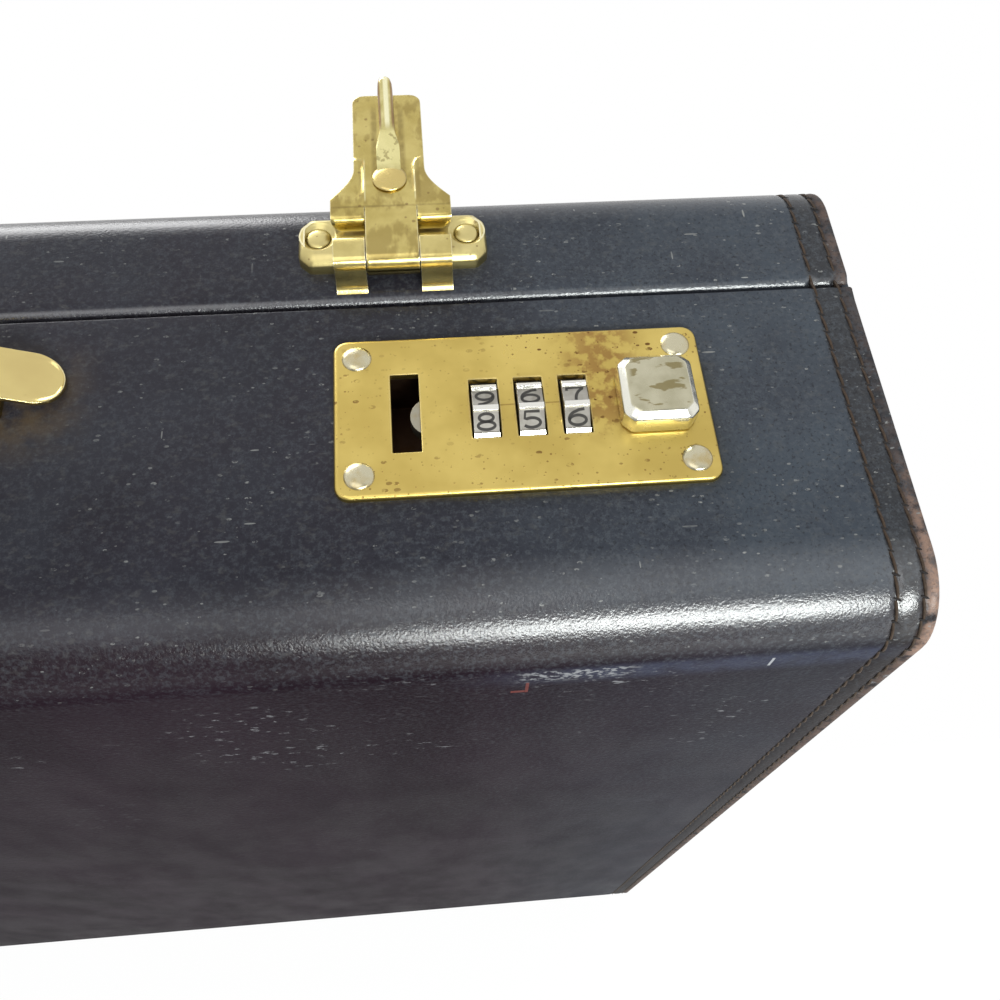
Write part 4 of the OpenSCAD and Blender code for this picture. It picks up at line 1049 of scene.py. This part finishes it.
for side, name in both_sides:
    for k, shown in enumerate((9, 6, 7)):
        points, faces = [], []
        middle = plate_x + 23.875 + dial_pitch * k
        for digit in range(10):
            turn = math.radians(8 + 36 * (digit - shown))
            cut, strips = engraved_number(digit, 2.8, 2.5, 0.48)
            shift = len(points)
            for across, up, depth in cut:
                reach = flat_r + depth
                points.append((side * middle + across,
                               plate_y + axle_y + reach * math.sin(turn) + up * math.cos(turn),
                               top_z + axle_z + reach * math.cos(turn) - up * math.sin(turn)))
            faces += [tuple(i + shift for i in strip) for strip in strips]
        mesh_piece(f"dial_{k + 1}_{name}_numbers", points, faces, f"dial_{k + 1}_{name}",
                   paint.material, "nickel", False)

# Buttons and bolts
# Nickel-plated brass buttons with clipped corners and a wide bevel, worn through in
# blotches. A stem joins each to the slide bar, whose rounded nose shows in the slot.
button_x = 51.0


def clipped_ring(cx, cy, length, width, clip, z):
    """Outline of a rectangle with clipped corners at height z, anticlockwise from above."""
    ring = []
    soft = 0.18 * clip
    hx, hy = length / 2, width / 2
    for sx, sy in ((1, -1), (1, 1), (-1, 1), (-1, -1)):
        corner = [(hx - clip - soft, hy), (hx - clip + soft, hy - soft * 0.45),
                  (hx - soft * 0.45, hy - clip + soft), (hx, hy - clip - soft)]
        corner = [(cx + sx * x, cy + sy * y, z) for x, y in corner]
        ring += corner if sx * sy < 0 else corner[::-1]
    return ring


def button_cap():
    profile = [(0.25, 0.15), (0.05, 0.30), (0.0, 0.55), (0.02, 3.35), (0.10, 3.62), (0.26, 3.80)]
    profile += [(0.98, 4.52), (1.14, 4.68), (1.40, 4.78), (1.75, 4.80)]
    return pressed_sheet([clipped_ring(button_x, -22.4, 12.0 - 2 * inset, 12.2 - 2 * inset,
                                       1.7 - inset * 0.32, 1.2 + z) for inset, z in profile])


def button_finish():
    nickel = Finish("button_nickel", (0.80, 0.79, 0.70), 0.22, 1.0)
    worn = nickel.between(nickel.cloud(1.9, 4.0, nickel.stretched((0.38, 1.0, 1.0), (0, 0, -0.5))),
                          0.53, 0.575)
    middle = nickel.out(plate_x + button_x)
    face = nickel.between(nickel.axis("Z"), (top_z + 5.70) * mm, (top_z + 5.95) * mm)
    worn = nickel.times(worn, nickel.between(nickel.count("ABSOLUTE", middle), 4.6, 3.8), face)
    flat = nickel.blend(nickel.between(nickel.cloud(5.0), 0.3, 0.7), (0.55, 0.52, 0.38),
                        (0.42, 0.395, 0.27))
    nickel.lay(flat, face)
    nickel.lay((0.24, 0.195, 0.085), worn, 0.85)
    # Edges laid lighter: rubbed wear, and a painted highlight along every edge
    nickel.lay((0.9, 0.89, 0.82), nickel.edges(0.3), 0.6)
    nickel.set("Roughness", nickel.between(nickel.cloud(1.5), 0.3, 0.7, 0.16, 0.28))
    nickel.set("Normal", nickel.relief(worn, -0.01, nickel.relief(nickel.cloud(4.0), 0.03)))
    return nickel.material


button_nickel = button_finish()
bar_nickel = nickel_finish("bar_nickel", (0.36, 0.34, 0.27), 0.36)
for side, name in both_sides:
    lock_piece(f"button_cap_{name}", side, button_cap(), f"slide_{name}", button_nickel, "nickel",
               f"release_button_{name}")
    dress(bar_nickel, "nickel", f"slide_bar_{name}")

# Hasp bases
# Brass trays riveted to the lid in two dished holes. Two straps bent out of each reach over
# the steel pin and down to the leather.
hasp_x, pin_y, pin_z = 10.55, 6.8, 4.0
tray_rivet_x, tray_rivet_y = 12.75, 12.95
strap_wide = 5.3


def hasp_tray():
    steps = [(0.0, 0.0, 0.0), (0.0, 0.0, 1.7), (0.12, 0.15, 2.05), (0.42, 0.75, 2.72),
             (0.8, 1.3, 3.12), (1.2, 1.75, 3.3)]
    outer = [clipped_ring(hasp_x, 12.35 + (front - side) / 2, 32.3 - 2 * side, 10.1 - front - side,
                          2.1 - 0.3 * side, z) for side, front, z in steps]
    dish = [(2.0, 0.0), (2.0, 2.35), (2.15, 2.55), (2.5, 2.8), (2.8, 3.02), (2.95, 3.18),
            (3.2, 3.3)]
    turns = [math.radians(15.0 * i) for i in range(24)]
    holes = [[[(hasp_x + s * tray_rivet_x + r * math.cos(a), tray_rivet_y + r * math.sin(a), z)
               for a in turns] for r, z in dish] for s in (-1, 1)]
    return pressed_sheet(outer, holes)


def strap_line():
    """Outside of a strap from the tray over the pin to the leather, as (y, z) from the pin."""
    return [(3.0, -0.75), (2.98, 1.2), (2.85, 2.0), (2.5, 2.55), (2.0, 2.75), (0.6, 2.78),
            (-0.9, 2.72), (-1.75, 2.45), (-2.35, 1.9), (-2.72, 1.1), (-2.9, 0.1), (-3.05, -1.2),
            (-3.35, -2.6), (-3.75, -3.5), (-4.15, -3.85), (-4.2, -4.0)]


def bent_strap(x0, x1, line, thickness):
    """A strip of sheet metal bent along a line, between two places across the case."""
    inner = []
    for i, (y, z) in enumerate(line):
        before, after = line[max(i - 1, 0)], line[min(i + 1, len(line) - 1)]
        way = Vector((after[0] - before[0], after[1] - before[1])).normalized()
        inner.append((y - way.y * thickness, z + way.x * thickness))
    inner = [(y, max(z, -4.0)) for y, z in inner]
    loop = list(line) + list(reversed(inner))
    n = len(loop)
    points = [(x, pin_y + y, pin_z + z) for x in (x0, x1) for y, z in loop]
    faces = [(i, (i + 1) % n, n + (i + 1) % n, n + i) for i in range(n)]
    for base in (0, n):
        rows = len(line)
        faces += [(base + i, base + i + 1, base + n - 2 - i, base + n - 1 - i)
                  for i in range(rows - 1)]
    return points, faces


def soften(piece, width, angle=35):
    """Rounds the edges sharper than an angle in degrees."""
    bevel = piece.modifiers.new("worn edges", "BEVEL")
    bevel.width = width * mm
    bevel.segments = 2
    bevel.limit_method = "ANGLE"
    bevel.angle_limit = math.radians(angle)
    bevel.harden_normals = False
    bevel.use_clamp_overlap = True


def hasp_finish(name, dark_reflection_share, painted_crease_shade=False, pale=0.0, rough=0.17):
    brass = Finish(name, (0.62, 0.51, 0.19), 0.26, 1.0)
    tone = brass.cloud(6.0, 3.0)
    brass.lay((0.46, 0.365, 0.115), brass.between(tone, 0.3, 0.7))
    # Painted dark reflections: brown patches laid over the brass
    dark = brass.between(brass.cloud(4.0, 4.0, brass.stretched((1.0, 0.5, 1.0))), 0.50, 0.60)
    brass.lay((0.27, 0.19, 0.055), dark, dark_reflection_share)
    brass.lay((0.86, 0.79, 0.46), pale)
    spots = brass.speckle(1.3, 0.35, 0.25)
    brass.lay((0.16, 0.08, 0.03), spots, 0.5)
    if painted_crease_shade:
        # Painted shade along the ribs and in the bend over the pin, and a painted shadow beside
        # the hook
        x = brass.count("ABSOLUTE", brass.out(plate_x + hasp_x))
        s = brass.along("Y", plate_y + pin_y)
        neck = brass.within(s, 10.0, 11.2, 19.2, 20.6)
        rib = brass.away(x, 4.95)
        ribs = brass.times(brass.between(rib, 0.55, 0.1), neck, 0.6)
        bend = brass.between(brass.away(s, 9.15), 0.34, 0.1)
        beside = brass.times(brass.within(x, 1.7, 2.15, 2.5, 3.3),
                             brass.within(s, 13.0, 16.0, 31.0, 34.5))
        painted_shade = brass.most(ribs, brass.times(bend, 0.8), beside)
        painted_shade = brass.times(painted_shade, brass.between(brass.cloud(1.8, 4.0), 0.25, 0.6, 0.35, 1.0))
        brass.lay((0.16, 0.105, 0.035), painted_shade, 0.5)
        # Painted highlight along the top of each rib
        bright = brass.times(brass.within(x, 4.1, 4.28, 4.34, 4.5), neck)
        brass.lay((0.88, 0.82, 0.5), bright, 0.5)
    # Edges laid lighter: rubbed wear, and a painted highlight along every edge
    brass.lay((0.88, 0.82, 0.56), brass.edges(0.35), 0.8)
    brass.set("Roughness", brass.between(tone, 0.3, 0.7, rough, rough + 0.10))
    brush = brass.cloud(0.4, 2.0, brass.stretched((1.0, 0.05, 1.0)))
    brass.set("Normal", brass.relief(brush, 0.007, brass.relief(brass.cloud(7.0), 0.05)))
    return brass.material


hasp_brass = hasp_finish("hasp_brass", 0.55, True)
tray_brass = hasp_finish("tray_brass", 0.30, pale=0.25, rough=0.28)
strap_brass = hasp_finish("strap_brass", 0.30, pale=0.10)
for side, name in both_sides:
    lock_piece(f"hasp_tray_{name}", side, hasp_tray(), "lid", tray_brass, "brass",
               f"hasp_base_{name}")
    for k, x0 in enumerate((hasp_x - 9.87, hasp_x + 9.87 - strap_wide)):
        shape = bent_strap(x0, x0 + strap_wide, strap_line(), 0.95)
        soften(lock_piece(f"hasp_strap_{name}_{k + 1}", side, shape, "lid", strap_brass, "brass"),
               0.16)
dishes = [(hasp_x + s * tray_rivet_x, tray_rivet_y, 2.6) for s in (-1, 1)]
tray_heads = rivets("tray_rivet_heads", on_lock(1, dishes) + on_lock(-1, dishes), "lid",
                    2.1, 0.55, tray_brass)
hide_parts("hasp_base_rivets")
dress(pin_steel, "steel", "hasp_pins")

# Hasp leaves
# Pressed brass sheet rolled round the pin. Its shoulders are turned down beside the roll, and
# two ribs stiffen the neck of the tongue.
tongue_half = 6.15
# The tip starts to round at this distance from the pin, with this radius
tip_s, tip_r = 34.2, 2.0
# The sheet's upper face lies this high over the pin's axis
sheet_h = 2.75


def leaf_half_width(s):
    """Half the leaf's width at s mm from the pin."""
    if s > tip_s:
        return tongue_half - tip_r + math.sqrt(max(0.0, tip_r ** 2 - (s - tip_s) ** 2))
    t = max(0.0, min(1.0, (s - 11.0) / 7.0))
    return tongue_half + 4.1 * (1 - math.sin(math.pi / 2 * t))


def rib_height(x, s):
    """Height of the pressed ribs at a point of the leaf."""
    path = [(5.75, 19.9), (4.95, 19.6), (4.45, 18.4), (4.3, 15.0), (4.4, 12.0), (5.0, 10.6)]
    here = Vector((abs(x), s))
    near = 9.0
    for (x0, s0), (x1, s1) in zip(path, path[1:]):
        a, b = Vector((x0, s0)), Vector((x1, s1))
        share = max(0.0, min(1.0, (here - a).dot(b - a) / (b - a).length_squared))
        near = min(near, (here - a - (b - a) * share).length)
    return 0.34 * math.exp(-(near / 0.34) ** 2)


def hasp_leaf():
    """Upper face of the leaf as (across, from the pin, height over the pin)."""
    middle = [-4.4 + 8.8 * i / 22 for i in range(23)]
    wing = [4.5 + 1.65 * i / 8 for i in range(9)]
    columns = [-w for w in reversed(wing)] + middle + wing
    rows = [9.0 + 0.4 * i for i in range(31)] + [22.0 + 1.0 * i for i in range(13)]
    rows += [34.6, 35.0, 35.4, 35.8, 36.05, 36.2]
    grid = []
    for s in rows:
        half = leaf_half_width(s)
        line = []
        for c in columns:
            if s > tip_s:
                x = c * half / tongue_half
            elif abs(c) > 4.45:
                x = math.copysign(4.5 + (abs(c) - 4.5) / 1.65 * (half - 4.5), c)
            else:
                x = c
            line.append((x, s, sheet_h + rib_height(x, s)))
        grid.append(line)
    points, faces = [], []

    def patch(lines):
        faces.extend(net(len(lines), len(lines[0]), len(points)))
        for line in lines:
            points.extend(line)

    patch(grid)
    turns = [math.radians(90 + 12 * i) for i in range(24, 0, -1)]
    roll = [(sheet_h * math.cos(a), sheet_h * math.sin(a)) for a in turns]
    roll += [(s, sheet_h) for s in (0.0, 2.0, 4.0, 6.0, 8.0, 9.0)]
    patch([[(x, s, h) for x in middle] for s, h in roll])
    lip = [(6.42, -0.15, 1.6), (6.45, 0.5, 0.7), (6.55, 1.3, 0.2), (6.8, 2.0, 0.0),
           (7.25, 2.45, 0.0), (7.9, 2.66, 0.0), (8.5, 2.73, 0.0), (9.0, sheet_h, 0.0)]
    for way in (-1, 1):
        lines = []
        for s, h, cut in lip:
            spread = [4.5 + (w - 4.5) / 1.65 * (5.75 - cut) for w in wing]
            xs = [-x for x in reversed(spread)] if way < 0 else spread
            lines.append([(x, s, h) for x in xs])
        patch(lines)
    return points, faces


def hook_shape():
    """Upper face of the hook: a strip that rises off the leaf and folds into a channel."""
    stations = [(14.0, 0.45, 2.0, 0.0), (16.5, 0.50, 2.0, 0.0), (18.0, 0.95, 2.05, 0.05),
                (20.0, 1.50, 2.05, 0.12), (21.6, 1.85, 2.0, 0.25), (23.0, 2.25, 1.75, 0.6),
                (24.3, 2.75, 1.42, 1.0), (26.0, 3.45, 1.38, 1.35), (28.0, 4.35, 1.36, 1.5),
                (30.0, 5.25, 1.36, 1.5), (31.6, 5.9, 1.35, 1.45), (32.8, 6.22, 1.28, 1.35),
                (33.5, 6.2, 1.08, 1.15), (33.95, 5.95, 0.72, 0.8), (34.1, 5.6, 0.30, 0.35)]
    points = []
    for s, h, half, fold in stations:
        for t in (-1.0 + k / 7 for k in range(15)):
            points.append((half * math.sin(t * math.pi / 2) if fold > 0.5 else half * t, s,
                           sheet_h + h - fold * abs(t) ** 2.6))
    return points, net(len(stations), 15)


def sheet_metal(name, side, body, shape, material, thickness, edge, node):
    """A pressed sheet from its upper face, laid on the open hasp of one side."""
    points, faces = shape
    placed = on_lock(side, [(hasp_x + x, pin_y + s, pin_z + h) for x, s, h in points])
    piece = mesh_piece(name, placed, faces, body, material, "brass")
    mend(piece, 0.01, True)
    thicken(piece, thickness)
    soften(piece, edge, 50)
    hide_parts(node)


def hook_finish():
    """Polished brass, with painted light: a painted highlight where it bends and along the fold,
    painted dark reflections in the bend, and painted shade down its rolled sides.
    """
    brass = Finish("hook_brass", (0.70, 0.62, 0.30), 0.2, 1.0)
    x = brass.out(plate_x + hasp_x)
    s = brass.along("Y", plate_y + pin_y)
    tone = brass.cloud(2.6, 4.0)
    brass.lay((0.50, 0.43, 0.17), brass.between(tone, 0.35, 0.65))
    # Painted highlight where the strip bends
    bend = brass.within(s, 16.8, 18.4, 23.4, 25.4)
    brass.lay((0.84, 0.77, 0.37), bend, 0.75)
    # Painted dark reflections within that highlight
    painted_reflection = brass.times(bend, brass.between(brass.cloud(1.5, 4.0), 0.57, 0.64))
    brass.lay((0.3, 0.24, 0.09), painted_reflection, 0.6)
    fold = brass.between(s, 24.0, 26.0)
    # Painted highlight along the top of the fold
    core = brass.within(x, -0.45, -0.1, 0.35, 0.75)
    brass.lay((0.9, 0.86, 0.56), core, fold)
    # Painted shade down the rolled sides
    sides = brass.times(brass.between(brass.count("ABSOLUTE", x), 0.72, 1.1), fold)
    brass.lay((0.24, 0.12, 0.06), sides, 0.8)
    brass.set("Roughness", brass.between(tone, 0.3, 0.7, 0.15, 0.26))
    brass.set("Normal", brass.relief(brass.cloud(3.0), 0.03))
    return brass.material


hook_brass = hook_finish()
disc_brass = brass_finish("disc_brass", 0.24, 0.15, 0.22)
for side, name in both_sides:
    body = f"hasp_{name}"
    sheet_metal(f"hasp_leaf_sheet_{name}", side, body, hasp_leaf(), hasp_brass, 1.0, 0.16,
                f"hasp_leaf_{name}")
    sheet_metal(f"hasp_hook_strip_{name}", side, body, hook_shape(), hook_brass, 0.65, 0.10,
                f"hasp_hook_{name}")
    rivets(f"hook_rivet_head_{name}", on_lock(side, [(hasp_x, pin_y + 15.25, pin_z + 3.0)]),
           body, 2.95, 0.58, disc_brass)

# Table, light and camera
# The case stands on the back edge of a plain pale table, so that its lid can swing down
# behind. Soft lamps over a white room, and the camera where the photograph was taken.
pale = Finish("pale_table", (0.86, 0.86, 0.86), 0.8)
glow = pale.node("ShaderNodeEmission", {"Strength": 1.03})
seen = pale.times(pale.node("ShaderNodeLightPath").outputs["Is Camera Ray"], 0.88)
both = pale.node("ShaderNodeMixShader", {0: seen, 1: pale.shader, 2: glow})
feed(pale.tree, pale.tree.nodes["Material Output"].inputs["Surface"], both)

# A slab 3 m wide, 1.6 m deep and 0.5 m thick, with its back edge under the case
back_edge = 4.7
corners = [(x, y, z) for z in (-500.0, 0.0)
           for x, y in ((-1500.0, back_edge - 1600.0), (1500.0, back_edge - 1600.0),
                        (1500.0, back_edge), (-1500.0, back_edge))]
table_top = new_piece("table_top", corners, [],
                      net(2, 4, closed=True) + [(3, 2, 1, 0), (4, 5, 6, 7)])
table_top.data.materials.append(pale.material)

world = bpy.data.worlds.new("white_room")
bpy.context.scene.world = world
world.use_nodes = True
room = world.node_tree
path = add_node(room, "ShaderNodeLightPath").outputs
# The room is darker behind the photographer, so metal that faces there shows a dark band
way = add_node(room, "ShaderNodeTexCoord").outputs["Generated"]
facing = add_node(room, "ShaderNodeVectorMath", {0: way, 1: (0.0, -0.94, 0.34)},
                  operation="DOT_PRODUCT").outputs["Value"]
open_side = add_node(room, "ShaderNodeMapRange",
                     {"Value": facing, "From Min": 0.80, "From Max": 0.40})
shown = add_node(room, "ShaderNodeMath", {0: path["Is Glossy Ray"], 1: open_side},
                 operation="MULTIPLY")
for ray in ("Is Camera Ray", "Is Transmission Ray"):
    shown = add_node(room, "ShaderNodeMath", {0: shown, 1: path[ray]}, operation="MAXIMUM")
level = add_node(room, "ShaderNodeMapRange", {"Value": shown, "To Min": 0.41, "To Max": 1.0})
feed(room, room.nodes["Background"].inputs["Strength"], level)
feed(room, room.nodes["Background"].inputs["Color"], (1.0, 1.0, 1.0))


def soft_lamp(name, place, aim, size, power, colour=(1.0, 1.0, 1.0)):
    lamp = bpy.data.lights.new(name, "AREA")
    lamp.shape = "RECTANGLE"
    lamp.size, lamp.size_y = size
    lamp.energy = power
    lamp.color = colour
    holder = bpy.data.objects.new(name, lamp)
    holder.location = place
    holder.rotation_euler = (Vector(aim) - Vector(place)).to_track_quat("-Z", "Y").to_euler()
    bpy.context.scene.collection.objects.link(holder)


soft_lamp("window_lamp", (0.95, -2.55, 1.77), (0.2, -0.05, 0.34), (2.0, 0.7), 96.0,
          (0.96, 1.0, 0.98))
soft_lamp("ceiling_lamp", (-0.5, -0.9, 2.2), (0.0, 0.0, 0.3), (1.5, 1.5), 10.0)
soft_lamp("fill_lamp", (-0.9, 2.3, 0.9), (0.0, 0.0, 0.2), (1.6, 1.2), 42.0)

camera = bpy.data.cameras.new("photo_camera")
camera.sensor_width = 36.0
camera.lens = 35.90
camera.clip_start = 0.01
viewer = bpy.data.objects.new("photo_camera", camera)
right = Vector((0.996, -0.0827, 0.0335)).normalized()
forward = Vector((0.0683, 0.4649, -0.8827)).normalized()
down = forward.cross(right).normalized()
right = down.cross(forward).normalized()
turn = Matrix((right, -down, -forward)).transposed()
viewer.matrix_world = Matrix.Translation((0.15343, -0.09903, 0.47736)) @ turn.to_4x4()
bpy.context.scene.collection.objects.link(viewer)
bpy.context.scene.camera = viewer
bpy.context.scene.view_settings.view_transform = "Standard"
